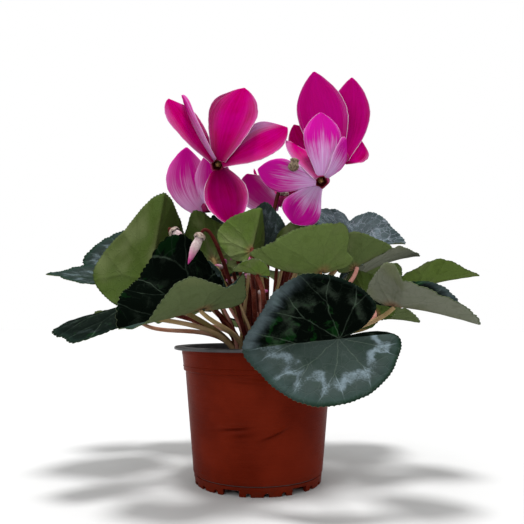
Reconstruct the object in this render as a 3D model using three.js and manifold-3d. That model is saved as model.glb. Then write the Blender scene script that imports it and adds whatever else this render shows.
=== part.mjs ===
// A potted cyclamen: a grower's pot, its soil, and the plant with its leaves, blooms and buds.
// Millimetres, +Z up. The origin is on the pot's axis, on the surface that the pot stands on.
// +Y points to the back of the plant, and +X to its right as seen from the front.
import * as THREE from 'three';
import * as BufferGeometryUtils from 'three/addons/utils/BufferGeometryUtils.js';
import Module from 'manifold-3d';

const wasm = await Module();
wasm.setup();

// Driving dimensions of the pot
const POT_HEIGHT = 93;
const RIM_RADIUS = 60;
const RIM_THICKNESS = 2.2;
const COLLAR_RADIUS = 54.6;
const COLLAR_FOOT_RADIUS = 53.2;
const SHOULDER_Z = 77;
const SHOULDER_DROP = 2;
const WALL_RADIUS = 51.8;
const WALL_FOOT_RADIUS = 45.4;
const FOOT_HEIGHT = 7;
const FOOT_RADIUS = 44.4;
const FOOT_RING = 2;
const FOOT_SLOPE = 2;
const RIM_CHAMFER = 0.6;
const WALL = 1.2;
const FLOOR_Z = 5;
const HUB_RADIUS = 12;
const POT_SIDES = 32;
// Every fourth notch is a wide slot.
const NOTCH_COUNT = 24;
const NOTCH_WIDTH = 3;
const NOTCH_HEIGHT = 2.5;
const NOTCH_DEPTH = 8;
const SLOT_COUNT = 6;
const SLOT_WIDTH = 11;
const SLOT_HEIGHT = 4;
const DRAIN_RADIUS = 4;
const DRAIN_RING_RADIUS = 28;
const DRAIN_COUNT = 6;
const DRAIN_SIDES = 10;

// Driving dimensions of what fills the pot
const GAP = 0.3;
const SOIL_Z = 80;
const SOIL_CROWN = 2;
const SOIL_SIDES = 24;
const TUBER_RADIUS = 25;
const TUBER_HALF_HEIGHT = 8;
const TUBER_Z = 81;
const TUBER_STEPS = 6;

// Driving dimensions of the plant's pieces
const BLADE = 0.8;
const PETAL = 0.8;
const PETAL_CUP = 0.22;
const PETAL_BELLY = 1.35;
const PETAL_ROWS = 5;
const PETAL_COLUMNS = 4;
// Share of the midrib that the margin lies from the stalk, before its point and its notch
const BLADE_REACH = 0.79;
const MARGIN_POINTS = 24;
const FRONT_MARGIN_POINTS = 28;
const BACK_MARGIN_POINTS = 20;
const LEAF_RINGS = [0.42, 0.76];
const TOOTH = 0.025;
const PETIOLE_FOOT_RADIUS = 2.3;
const PETIOLE_TOP_RADIUS = 1.5;
const PETIOLE_OUT = 0.15;
const PETIOLE_RISE = 0.35;
const PETIOLE_HOOK = 0.28;
const PEDICEL_FOOT_RADIUS = 2.1;
const PEDICEL_TOP_RADIUS = 1.3;
const PEDICEL_RISE = 0.7;
const BLOOM_CROOK = 22;
const BUD_CROOK = 12;
const CALYX_RADIUS = 4;
const CALYX_NECK = 1.6;
const STEM_SIDES = 5;
const PETIOLE_STEPS = 5;
const PEDICEL_STEPS = 6;
const TUBER_SIDES = 12;
const SMALL_SIDES = 6;
const BUD_SIDES = 8;
const STALK_INSET = 1.5;
const STALK_GAP = 0.4;
const MOUTH_RADIUS = 4.6;
const TUBE_RADIUS = 6.4;
const TUBE_LENGTH = 9;
const TUBE_WALL = 1.2;
const TUBE_SIDES = 8;

const DEGREE = Math.PI / 180;
const TURN = 2 * Math.PI;

// Each leaf, with left and right as seen from above and the tip ahead:
// base: where its stalk meets the blade, tip: its point, faces: which way its upper face looks,
// fold: degrees by which each half is folded up from the midrib, curl: degrees added at the margin,
// rear: degrees of fold added behind, from rearFrom to rearTo as shares of the midrib,
// arch: height of the midrib's bow as a share of its length, width and lobe: how broad each half and
// its back lobe are, point: how far its point stands out, notch: degrees by which its notch is turned
// counter-clockwise, as seen from above, wave and phase: the margin's wave, lean: how far the stalk
// lies along the blade, via: a place that the stalk leans towards, points: how many points the margin
// has.
const LEAF_DEFAULTS = {
  curl: [0, 0], rear: [0, 0], rearFrom: 0, rearTo: -1, width: [1, 1], lobe: [1, 1], point: 0.14,
  notch: 0, lean: 0.5, corners: [], points: MARGIN_POINTS,
};
const LEAVES = [
  { name: 'leaf_over_rim', base: [48, -78, 100], tip: [-9, -68, 93], faces: [0.1, -0.97, 0.2],
    fold: [14, 16], curl: [4, 6], arch: 0.03, width: [0.88, 0.9], lobe: [0.86, 0.7], notch: 16,
    wave: 0.02, phase: 1, points: FRONT_MARGIN_POINTS },
  { name: 'leaf_left_tall', base: [-76, -20, 137], tip: [-66, -12, 210], faces: [-0.33, 0.94, 0],
    fold: [52, 38], arch: 0.02, width: [0.95, 0.72], lobe: [0.4, 0.66], point: 0.06,
    wave: 0.03, phase: 2, lean: 1.2, corners: [[-88, 0.2, 14], [-42, -0.13, 22], [-135, -0.28, 22]],
    points: FRONT_MARGIN_POINTS },
  { name: 'leaf_left_fold', base: [-35, -54, 118], tip: [-81, -82, 104], faces: [0, -0.1, 1],
    fold: [30, 52], rear: [0, 33], rearFrom: 0.3, rearTo: 0.05, arch: 0, width: [1, 1.1],
    lobe: [0.75, 0.5], wave: 0.1, phase: 2.8, points: FRONT_MARGIN_POINTS },
  { name: 'leaf_left_far', base: [-112, 32, 138], tip: [-160, 10, 144], faces: [-0.1, -0.35, 0.93],
    fold: [10, 10], curl: [-8, -8], arch: 0.04, width: [0.8, 0.8], lobe: [0.3, 0.3], wave: 0.03, phase: 1 },
  { name: 'leaf_left_back', base: [-110, 92, 166], tip: [-157, 86, 163], faces: [-0.2, -0.72, 0.66],
    fold: [8, 12], arch: 0.03, width: [0.8, 0.95], lobe: [0.6, 0.6], wave: 0.03, phase: 3 },
  { name: 'leaf_left_low', base: [-88, -38, 120], tip: [-133, -48, 104], faces: [-0.25, -0.6, 0.75],
    fold: [-12, -28], arch: 0.02, width: [0.62, 0.6], lobe: [0.4, 0.4], wave: 0.03, phase: 4,
    corners: [[42, 0.2, 16], [85, -0.38, 26]] },
  { name: 'leaf_left_inner', base: [-33, 4, 155], tip: [-48, 8, 194], faces: [-0.2, 0.9, 0.3],
    fold: [25, 25], arch: 0.02, width: [0.8, 0.75], lobe: [0.5, 0.5], wave: 0.03, phase: 5, lean: 1.2 },
  { name: 'leaf_centre_back', base: [-26, 32, 160], tip: [-25, 30, 204], faces: [0, -0.95, 0.3],
    fold: [15, 15], arch: 0.03, width: [0.7, 0.7], lobe: [0.5, 0.5], wave: 0.03, phase: 2 },
  { name: 'leaf_centre_up', base: [-4, -46, 156], tip: [3, -38, 187], faces: [-0.25, 0.95, -0.1],
    fold: [60, 12], arch: 0.02, lobe: [0.4, 0.4], wave: 0.03, phase: 1, lean: 1.2 },
  { name: 'leaf_centre_dark', base: [2, -11, 160], tip: [6, -13, 196], faces: [0, -0.95, 0.3],
    fold: [10, 10], arch: 0.03, width: [0.7, 0.7], lobe: [0.3, 0.3], wave: 0.03, phase: 0 },
  { name: 'leaf_centre_olive', base: [29, -28, 156], tip: [31, -25, 185], faces: [0, 0.95, 0.2],
    fold: [15, 15], arch: 0.02, width: [0.85, 0.85], lobe: [0.4, 0.4], wave: 0.03, phase: 3, lean: 1.2 },
  { name: 'leaf_centre_wide', base: [42, -44, 142], tip: [-5, -60, 151], faces: [0, 0.45, 0.89],
    fold: [51, 75], arch: -0.1, width: [0.82, 0.66], lobe: [0.8, 0.3],
    wave: 0.02, phase: 2, corners: [[100, 0.14, 16], [140, -0.3, 24]], points: FRONT_MARGIN_POINTS },
  { name: 'leaf_right_green', base: [67, -24, 147], tip: [93, -28, 160], faces: [0, 0.45, 0.89],
    fold: [50, 51], arch: 0.02, lobe: [0.4, 0.6],
    wave: 0.03, phase: 1, points: FRONT_MARGIN_POINTS },
  { name: 'leaf_right_slim', base: [73, 0, 143], tip: [120, 4, 160], faces: [-0.3, -0.05, 1],
    fold: [25, 20], arch: 0.05, width: [0.5, 0.7], lobe: [0.4, 0.4], wave: 0.03, phase: 5 },
  { name: 'leaf_right_silver', base: [70, 20, 173], tip: [34, 12, 193], faces: [0.2, -0.6, 0.8],
    fold: [10, 10], arch: 0.04, width: [0.8, 0.8], lobe: [0.5, 0.5], wave: 0.03, phase: 1 },
  { name: 'leaf_right_large', base: [72, 52, 168], tip: [117, 30, 171], faces: [0.2, -0.55, 0.83],
    fold: [30, 12], curl: [0, -10], arch: 0.05, width: [1, 0.65], lobe: [0.8, 0.4],
    wave: 0.03, phase: 3, points: FRONT_MARGIN_POINTS },
  { name: 'leaf_right_top', base: [40, 64, 178], tip: [52, 70, 207], faces: [0.2, 0.9, 0.3],
    fold: [15, 15], arch: 0.04, width: [0.6, 0.6], lobe: [0.6, 0.6], wave: 0.03, phase: 2, lean: 1.2 },
  { name: 'leaf_right_far', base: [122, 10, 136], tip: [161, -4, 143], faces: [-0.1, 0.2, 1],
    fold: [25, 25], arch: 0.03, width: [0.8, 0.8], lobe: [0.6, 0.6], wave: 0.03, phase: 0 },
  { name: 'leaf_right_fold', base: [85, -55, 120], tip: [134, -72, 108], faces: [-0.1, -0.1, 1],
    fold: [42, 30], rear: [0, 55], rearFrom: 0.12, rearTo: -0.25, arch: 0.03, width: [0.6, 0.9],
    lobe: [0.45, 0.5], wave: 0.03, phase: 3.14, via: [36, -30, 106], points: FRONT_MARGIN_POINTS },
  { name: 'leaf_right_low', base: [84, -4, 112], tip: [116, -6, 110], faces: [0, 0.1, 1],
    fold: [15, 25], arch: 0.03, width: [0.45, 0.75], lobe: [0.4, 0.4], wave: 0.03, phase: 4 },
  { name: 'leaf_right_inner', base: [80, -26, 116], tip: [65, -22, 146], faces: [0.1, 0.9, 0.2],
    fold: [15, 15], arch: 0.03, width: [0.8, 0.8], lobe: [0.3, 0.3], wave: 0.03, phase: 1, lean: 1.2 },
  { name: 'leaf_young', base: [1, -76, 138], tip: [-15, -78, 140], faces: [0.05, 0.3, 1],
    fold: [20, 20], arch: 0.05, lobe: [0.6, 0.6],
    wave: 0.02, phase: 0, points: BACK_MARGIN_POINTS },
  { name: 'leaf_young_dark', base: [-28, -26, 134], tip: [-33, -30, 152], faces: [-0.5, -0.8, 0.2],
    fold: [30, 30], arch: 0.03, lobe: [0.6, 0.6],
    wave: 0.03, phase: 2, points: BACK_MARGIN_POINTS },
  { name: 'leaf_back_right', base: [84, 74, 146], tip: [120, 104, 136], faces: [0.25, 0.35, 0.9],
    fold: [12, 12], arch: 0.05, lobe: [0.8, 0.8],
    wave: 0.03, phase: 2, points: BACK_MARGIN_POINTS },
  { name: 'leaf_back_right_low', base: [60, 68, 118], tip: [94, 106, 108], faces: [0.25, 0.4, 0.9],
    fold: [12, 12], arch: 0.05, width: [0.8, 0.8], lobe: [0.5, 0.5],
    wave: 0.03, phase: 0, points: BACK_MARGIN_POINTS },
  { name: 'leaf_back_middle', base: [26, 90, 152], tip: [36, 136, 142], faces: [0.05, 0.5, 0.87],
    fold: [14, 14], arch: 0.05, lobe: [0.8, 0.8],
    wave: 0.03, phase: 4, points: BACK_MARGIN_POINTS },
  { name: 'leaf_back_low', base: [-4, 80, 108], tip: [-2, 126, 96], faces: [0, 0.45, 0.9],
    fold: [14, 14], arch: 0.05, width: [0.75, 0.75], lobe: [0.5, 0.5],
    wave: 0.03, phase: 1, points: BACK_MARGIN_POINTS },
  { name: 'leaf_back_left', base: [-32, 84, 148], tip: [-52, 130, 138], faces: [-0.15, 0.5, 0.87],
    fold: [12, 12], arch: 0.05, lobe: [0.8, 0.8],
    wave: 0.03, phase: 5, points: BACK_MARGIN_POINTS },
  { name: 'leaf_back_left_low', base: [-62, 80, 118], tip: [-94, 116, 108], faces: [-0.25, 0.4, 0.9],
    fold: [12, 12], arch: 0.05, width: [0.8, 0.8], lobe: [0.5, 0.5],
    wave: 0.03, phase: 3, points: BACK_MARGIN_POINTS },
  { name: 'leaf_back_inner', base: [-4, 60, 178], tip: [0, 100, 188], faces: [0, -0.2, 1],
    fold: [12, 12], arch: 0.05, lobe: [0.8, 0.8],
    wave: 0.03, phase: 2, points: BACK_MARGIN_POINTS },
  { name: 'leaf_side_left', base: [-92, 30, 112], tip: [-132, 46, 100], faces: [-0.3, 0.1, 0.95],
    fold: [12, 12], arch: 0.05, lobe: [0.7, 0.7],
    wave: 0.03, phase: 2, points: BACK_MARGIN_POINTS },
];

// Each bloom: the middle of its mouth, the way the mouth opens, and its five petals, each with its
// tip from the mouth, the way its deep-coloured face looks, its width, how far it bows outwards, and
// its belly: 1 is widest in the middle, and more than that nearer to the tip.
// via is a place that the bloom's stem leans towards, and crook is how wide the stem's hook is.
const BLOOMS = [
  { name: 'bloom_left', mouth: [-29, -20, 221], opens: [-0.1, -0.9, -0.45], petals: [
    { tip: [-36, 2, 50], faces: [0.55, -0.85, 0.1], width: 23, bow: 0.15 },
    { tip: [19, 4, 59], faces: [-0.1, -1, 0.1], width: 33, bow: 0.12 },
    { tip: [50, -2, 27], faces: [-0.2, -0.9, 0.2], width: 28, bow: 0.12 },
    { tip: [12, -14, -46], faces: [0, -0.95, 0.3], width: 28, bow: 0.12, belly: 1 },
    { tip: [-24, 28, 56], faces: [0.5, 0.2, 0.4], width: 24, bow: 0.4 },
  ] },
  { name: 'bloom_right', mouth: [43, -40, 204], opens: [0.1, -0.85, -0.5], via: [20, -14, 140], petals: [
    { tip: [1, 10, 52], faces: [0, 1, 0], width: 25, bow: 0.15 },
    { tip: [-43, -2, 8], faces: [0, 1, 0.1], width: 21, bow: 0.15 },
    { tip: [-20, -8, -30], faces: [0, 1, 0.1], width: 25, bow: 0.15 },
    { tip: [20, 18, 34], faces: [-0.9, 0.4, 0.2], width: 18, bow: 0.25 },
    { tip: [-16, 34, 37], faces: [0.3, -1, 0], width: 22, bow: 0.25 },
  ] },
  { name: 'bloom_back', mouth: [62, 2, 230], opens: [0.1, 0.5, -0.85], via: [16, 6, 180], petals: [
    { tip: [-20, -6, 68], faces: [0, -1, 0.05], width: 36, bow: 0.15 },
    { tip: [10, 2, 67], faces: [-0.2, -1, 0.05], width: 30, bow: 0.15 },
    { tip: [18, 18, 24], faces: [0.5, -0.6, 0.3], width: 22, bow: 0.3 },
    { tip: [-34, 14, 34], faces: [-0.5, -0.7, 0.2], width: 24, bow: 0.3 },
    { tip: [2, 30, 50], faces: [0, -1, 0.4], width: 30, bow: 0.3 },
  ] },
  { name: 'bloom_left_low', mouth: [-40, 22, 196], opens: [0.1, 0.1, -1], via: [6, 10, 214], crook: 16,
    petals: [
      { tip: [-15, -14, 47], faces: [0, 1, 0.1], width: 32, bow: 0.25 },
      { tip: [3, -17, 44], faces: [0, 1, 0.1], width: 27, bow: 0.25 },
      { tip: [14, 18, 40], faces: [-0.7, -0.7, 0.1], width: 24, bow: 0.3 },
      { tip: [-2, 26, 42], faces: [0, -1, 0.1], width: 24, bow: 0.3 },
      { tip: [-20, 10, 42], faces: [0.9, -0.3, 0.1], width: 24, bow: 0.3 },
    ] },
  { name: 'bloom_middle', mouth: [20, 32, 203], opens: [0, 0.3, -0.95], petals: [
    { tip: [-29, -14, 22], faces: [0, -1, 0.2], width: 29, bow: 0.25 },
    { tip: [16, -16, 24], faces: [0, -1, 0.2], width: 22, bow: 0.3 },
    { tip: [26, 10, 34], faces: [-1, 0, 0.1], width: 22, bow: 0.3 },
    { tip: [4, 26, 38], faces: [0, -1, 0.1], width: 24, bow: 0.3 },
    { tip: [-24, 14, 34], faces: [0.9, -0.3, 0.1], width: 22, bow: 0.3 },
  ] },
];

// Each bud: where its calyx ends, its tip, and its greatest radius, with via as on a bloom.
const BUDS = [
  { name: 'bud_hooked', foot: [-36, -64, 163], tip: [-43, -66, 145], radius: 3.2, via: [-22, -56, 158] },
  { name: 'bud_upper', foot: [-57, -34, 171], tip: [-48, -37, 163], radius: 3.4, via: [-50, -26, 150] },
  { name: 'bud_dark', foot: [-14, -8, 160], tip: [-20, -12, 154], radius: 2.6 },
  { name: 'bud_low', foot: [-4, -57, 143], tip: [-5, -58, 151], radius: 2.4 },
];

const DRIED_BUD = { place: [24, -46.6, 214], along: [0.2, 0.1, 1], radius: 4, length: 9 };

// One colour for each kind of piece
const COLORS = {
  pot: 0x8a3420, soil: 0x2b211b, stem: 0x8f5a44, leaf: 0x46603a, petal: 0xc81a8c, anther: 0x6b4a24,
  bud: 0xe3c9d2, driedBud: 0x6a5a45,
};

const vec = (p) => new THREE.Vector3(...p);
const clamp01 = (v) => Math.min(Math.max(v, 0), 1);

// Solids are passed between functions as manifold-3d bodies.
function toSolid(points, triangles) {
  const geometry = new THREE.BufferGeometry();
  const places = points.flatMap((p) => [p.x, p.y, p.z]);
  geometry.setAttribute('position', new THREE.Float32BufferAttribute(places, 3));
  geometry.setIndex(triangles.flat());
  return solidOf(geometry);
}

function solidOf(source) {
  const bare = source.clone();
  bare.deleteAttribute('normal');
  bare.deleteAttribute('uv');
  const merged = BufferGeometryUtils.mergeVertices(bare, 1e-4);
  return new wasm.Manifold(new wasm.Mesh({
    numProp: 3,
    vertProperties: new Float32Array(merged.attributes.position.array),
    triVerts: new Uint32Array(merged.index.array),
  }));
}

function meshOf(solid, name, color, roughness) {
  const mesh = solid.getMesh();
  const geometry = new THREE.BufferGeometry();
  geometry.setAttribute('position', new THREE.Float32BufferAttribute(mesh.vertProperties, 3));
  geometry.setIndex(Array.from(mesh.triVerts));
  geometry.computeVertexNormals();
  const material = new THREE.MeshStandardMaterial({ color, roughness, metalness: 0 });
  const result = new THREE.Mesh(geometry, material);
  result.name = name;
  return result;
}

const join = (solids) => solids.reduce((sum, next) => sum.add(next));

// A shape turned about +Z from a profile of [radius, height] pairs.
function lathe(profile, sides) {
  const points = profile.map(([r, z]) => new THREE.Vector2(r, z));
  return new THREE.LatheGeometry(points, sides).rotateX(Math.PI / 2);
}

const latheSolid = (profile, sides) => solidOf(lathe(profile, sides));

// A box at a place, then turned about +Z.
function boxSolid(width, depth, height, x, y, z, turn) {
  const box = new THREE.BoxGeometry(width, depth, height).translate(x, y, z).rotateZ(turn);
  return solidOf(box);
}

// The pot: a thin drawn wall with a collar under the rim, a raised floor on a notched foot,
// and a hub in the middle of the floor that stands on the same surface as the foot.
function makePot() {
  const rimUnder = POT_HEIGHT - RIM_THICKNESS;
  const shoulderLow = SHOULDER_Z - SHOULDER_DROP;
  const profile = [
    [0, 0], [HUB_RADIUS, 0], [HUB_RADIUS + FOOT_SLOPE, FLOOR_Z],
    [FOOT_RADIUS - FOOT_RING - FOOT_SLOPE, FLOOR_Z],
    [FOOT_RADIUS - FOOT_RING, 0], [FOOT_RADIUS, 0], [FOOT_RADIUS + 0.5, FOOT_HEIGHT - 0.5],
    [WALL_FOOT_RADIUS, FOOT_HEIGHT], [WALL_RADIUS, shoulderLow], [COLLAR_FOOT_RADIUS, SHOULDER_Z],
    [COLLAR_RADIUS, rimUnder],
    [RIM_RADIUS - RIM_CHAMFER, rimUnder], [RIM_RADIUS, rimUnder + RIM_CHAMFER],
    [RIM_RADIUS - RIM_CHAMFER, POT_HEIGHT],
    [COLLAR_RADIUS - WALL + RIM_CHAMFER, POT_HEIGHT], [COLLAR_RADIUS - WALL, rimUnder - RIM_CHAMFER],
    [COLLAR_FOOT_RADIUS - WALL, SHOULDER_Z + 0.4], [WALL_RADIUS - WALL, shoulderLow + 0.4],
    [WALL_FOOT_RADIUS - WALL, FLOOR_Z + WALL], [0, FLOOR_Z + WALL],
  ];
  const body = latheSolid(profile, POT_SIDES);
  const cuts = [];
  for (let i = 0; i < NOTCH_COUNT; i += 1) {
    const turn = (i + 0.5) * (TURN / NOTCH_COUNT);
    const isSlot = i % (NOTCH_COUNT / SLOT_COUNT) === 0;
    const width = isSlot ? SLOT_WIDTH : NOTCH_WIDTH;
    const height = isSlot ? SLOT_HEIGHT : NOTCH_HEIGHT;
    cuts.push(boxSolid(NOTCH_DEPTH, width, 2 * height, FOOT_RADIUS, 0, 0, turn));
  }
  for (let i = 0; i < DRAIN_COUNT; i += 1) {
    const hole = new THREE.CylinderGeometry(DRAIN_RADIUS, DRAIN_RADIUS, 4 * WALL, DRAIN_SIDES);
    hole.rotateX(Math.PI / 2).translate(DRAIN_RING_RADIUS, 0, FLOOR_Z + WALL / 2);
    cuts.push(solidOf(hole.rotateZ((i + 0.5) * (TURN / DRAIN_COUNT))));
  }
  return body.subtract(join(cuts));
}

// The tuber's outline, grown by a margin for the hollow that it sits in.
function tuberProfile(grow) {
  const points = [];
  const steps = TUBER_STEPS;
  for (let i = 0; i <= steps; i += 1) {
    const lift = -Math.PI / 2 + (Math.PI * i) / steps;
    const r = i % steps === 0 ? 0 : (TUBER_RADIUS + grow) * Math.cos(lift);
    points.push([r, TUBER_Z + (TUBER_HALF_HEIGHT + grow) * Math.sin(lift)]);
  }
  return points;
}

// The soil fills the pot to a little under the collar, with a hollow where the tuber sits.
function makeSoil() {
  const wallAt = (z) => {
    const share = (z - FOOT_HEIGHT) / (SHOULDER_Z - SHOULDER_DROP - FOOT_HEIGHT);
    return WALL_FOOT_RADIUS + (WALL_RADIUS - WALL_FOOT_RADIUS) * share - WALL;
  };
  const low = FLOOR_Z + WALL + GAP;
  const shoulder = SHOULDER_Z - SHOULDER_DROP;
  const profile = [
    [0, low], [wallAt(low) - 2 * GAP, low], [wallAt(shoulder) - 2 * GAP, shoulder],
    [wallAt(shoulder), SOIL_Z - 1], [wallAt(shoulder) * 0.8, SOIL_Z + 0.4], [0, SOIL_Z + SOIL_CROWN],
  ];
  return latheSolid(profile, SOIL_SIDES).subtract(latheSolid(tuberProfile(GAP), TUBER_SIDES));
}

// A leaf's own axes: x along the midrib, z out of the upper face, y to the left.
function leafFrame(leaf) {
  const base = vec(leaf.base);
  const x = vec(leaf.tip).sub(base);
  const length = x.length();
  x.normalize();
  const z = vec(leaf.faces).addScaledVector(x, -vec(leaf.faces).dot(x)).normalize();
  const y = new THREE.Vector3().crossVectors(z, x);
  return { base, x, y, z, length };
}

// How far the margin lies from the stalk, as a share of the midrib: a heart with a short point
// and a notch at the back where the stalk comes in.
function marginShare(leaf, angle) {
  const a = Math.abs(angle) / DEGREE;
  const lobe = leaf.lobe[angle > 0 ? 0 : 1];
  const fromNotch = Math.abs(180 - Math.abs(angle / DEGREE - leaf.notch));
  const notch = 1 - 0.94 * clamp01((28 - fromNotch) / 28) ** 2.5;
  const point = leaf.point * Math.exp(-((a / 16) ** 2));
  const back = 1 - (1 - lobe) * clamp01((a - 70) / 80);
  const corners = leaf.corners.reduce(
    (sum, [middle, rise, spread]) => sum + rise * Math.exp(-(((angle / DEGREE - middle) / spread) ** 2)), 0);
  return (BLADE_REACH + 0.07 * Math.cos(angle) + point) * notch * back * (1 + corners);
}

// The middle surface of a blade, at an angle from the midrib and a share of the way to the margin.
function bladePoint(leaf, frame, angle, share, tooth) {
  const reach = marginShare(leaf, angle) * frame.length * (1 + tooth);
  const r = reach * share;
  const along = r * Math.cos(angle);
  const side = angle > 0 ? 0 : 1;
  const across = r * Math.sin(angle) * leaf.width[side];
  const run = Math.abs(across);
  const rear = clamp01((leaf.rearFrom - along / frame.length) / (leaf.rearFrom - leaf.rearTo));
  const fold = (leaf.fold[side] + leaf.rear[side] * rear) * DEGREE;
  const curl = (leaf.curl[side] * DEGREE) / (BLADE_REACH * frame.length);
  const bent = fold + curl * run;
  const isFlat = Math.abs(curl) < 1e-6;
  const out = isFlat ? run * Math.cos(fold) : (Math.sin(bent) - Math.sin(fold)) / curl;
  const up = isFlat ? run * Math.sin(fold) : (Math.cos(fold) - Math.cos(bent)) / curl;
  const arch = 4 * leaf.arch * along * (along > 0 ? 1 - along / frame.length : 1);
  const wave = leaf.wave * frame.length * share ** 3 * Math.sin(5 * angle + leaf.phase);
  return frame.base.clone()
    .addScaledVector(frame.x, along)
    .addScaledVector(frame.y, Math.sign(across) * out)
    .addScaledVector(frame.z, up + arch + wave);
}

// A sheet of points and triangles, given a thickness: both faces carry the same triangles,
// and a strip along the outline closes the body.
function thicken(points, triangles, outline, thickness) {
  const normals = points.map(() => new THREE.Vector3());
  for (const [a, b, c] of triangles) {
    const ab = points[b].clone().sub(points[a]);
    const ac = points[c].clone().sub(points[a]);
    const n = ab.cross(ac);
    normals[a].add(n);
    normals[b].add(n);
    normals[c].add(n);
  }
  normals.forEach((n) => n.normalize());
  const count = points.length;
  const above = points.map((p, i) => p.clone().addScaledVector(normals[i], thickness / 2));
  const below = points.map((p, i) => p.clone().addScaledVector(normals[i], -thickness / 2));
  const faces = [...triangles];
  for (const [a, b, c] of triangles) {
    faces.push([a + count, c + count, b + count]);
  }
  outline.forEach((a, i) => {
    const b = outline[(i + 1) % outline.length];
    faces.push([a, a + count, b + count], [a, b + count, b]);
  });
  return { points: [...above, ...below], faces, normals };
}

// A blade: its middle surface as rings about the stalk, with a toothed margin.
function makeLeaf(leaf) {
  const frame = leafFrame(leaf);
  const half = leaf.points / 2;
  const points = [bladePoint(leaf, frame, 0, 0, 0)];
  const rings = [[LEAF_RINGS[0], half], [LEAF_RINGS[1], half], [1, leaf.points]];
  for (const [share, count] of rings) {
    for (let i = 0; i < count; i += 1) {
      const angle = (i / count) * TURN - Math.PI;
      const tooth = share === 1 && i % 2 === 1 ? -TOOTH : 0;
      points.push(bladePoint(leaf, frame, angle, share, tooth));
    }
  }
  const triangles = [];
  for (let i = 0; i < half; i += 1) {
    const next = (i + 1) % half;
    const inner = 1;
    const middle = 1 + half;
    const outer = 1 + 2 * half;
    triangles.push([0, inner + i, inner + next]);
    triangles.push([inner + i, middle + i, middle + next], [inner + i, middle + next, inner + next]);
    const left = outer + 2 * i;
    const right = outer + ((2 * i + 2) % leaf.points);
    triangles.push([middle + i, left, left + 1], [middle + i, left + 1, middle + next]);
    triangles.push([middle + next, left + 1, right]);
  }
  const outline = Array.from({ length: leaf.points }, (_, i) => 1 + 2 * half + i);
  const { points: all, faces, normals } = thicken(points, triangles, outline, BLADE);
  return { solid: toSolid(all, faces), frame, normal: normals[0] };
}

// A tapered stem along a cubic curve. The last ring lies in the plane given by endNormal.
function makeStem(curve, steps, footRadius, topRadius, endNormal) {
  const points = [];
  const faces = [];
  let side = new THREE.Vector3(0.3, 1, 0.2);
  for (let i = 0; i <= steps; i += 1) {
    const t = i / steps;
    const centre = curve.getPoint(t);
    const tangent = curve.getTangent(t);
    const plane = i === steps ? endNormal : tangent;
    side = side.clone().addScaledVector(plane, -side.dot(plane)).normalize();
    const other = new THREE.Vector3().crossVectors(plane, side);
    const radius = footRadius + (topRadius - footRadius) * t;
    for (let k = 0; k < STEM_SIDES; k += 1) {
      const turn = (k / STEM_SIDES) * TURN;
      const point = centre.clone().addScaledVector(side, radius * Math.cos(turn));
      points.push(point.addScaledVector(other, radius * Math.sin(turn)));
    }
  }
  for (let i = 0; i < steps; i += 1) {
    for (let k = 0; k < STEM_SIDES; k += 1) {
      const a = i * STEM_SIDES + k;
      const b = i * STEM_SIDES + ((k + 1) % STEM_SIDES);
      faces.push([a, b, b + STEM_SIDES], [a, b + STEM_SIDES, a + STEM_SIDES]);
    }
  }
  const last = steps * STEM_SIDES;
  for (let k = 1; k < STEM_SIDES - 1; k += 1) {
    faces.push([0, k + 1, k], [last, last + k, last + k + 1]);
  }
  return toSolid(points, faces);
}

// Where a stem leaves the tuber: on its crown, towards the place that it grows to.
function stemRoot(target, spread) {
  const direction = Math.atan2(target.y, target.x);
  const reach = Math.min(Math.hypot(target.x, target.y) * 0.22, TUBER_RADIUS * 0.62) * spread;
  const rise = Math.sqrt(1 - (reach / TUBER_RADIUS) ** 2) * TUBER_HALF_HEIGHT;
  return new THREE.Vector3(reach * Math.cos(direction), reach * Math.sin(direction), TUBER_Z + rise - 3);
}

// A leaf's stalk: it leaves the tuber, rises outwards, and ends just under the blade.
function makePetiole(leaf, frame, normal) {
  const end = frame.base.clone().addScaledVector(frame.x, STALK_INSET);
  end.addScaledVector(normal, -(BLADE / 2 + STALK_GAP));
  const root = stemRoot(end, 1);
  const distance = end.distanceTo(root);
  const arrive = normal.clone().multiplyScalar(0.8).addScaledVector(frame.x, leaf.lean).normalize();
  const outward = new THREE.Vector3(end.x - root.x, end.y - root.y, 0).multiplyScalar(PETIOLE_OUT);
  const rise = root.clone().add(outward).add(new THREE.Vector3(0, 0, distance * PETIOLE_RISE));
  const first = leaf.via ? vec(leaf.via) : rise;
  const second = end.clone().addScaledVector(arrive, -distance * PETIOLE_HOOK);
  const curve = new THREE.CubicBezierCurve3(root, first, second, end);
  return makeStem(curve, PETIOLE_STEPS, PETIOLE_FOOT_RADIUS, PETIOLE_TOP_RADIUS, normal);
}

// Half the width of a petal along its length: narrow at the mouth, full past the middle, pointed.
function petalHalfWidth(t, belly) {
  return 0.5 * (0.22 * (1 - t) ** 1.5 + Math.sin(Math.PI * t ** belly * 0.985 + 0.02) ** 0.8);
}

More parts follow.
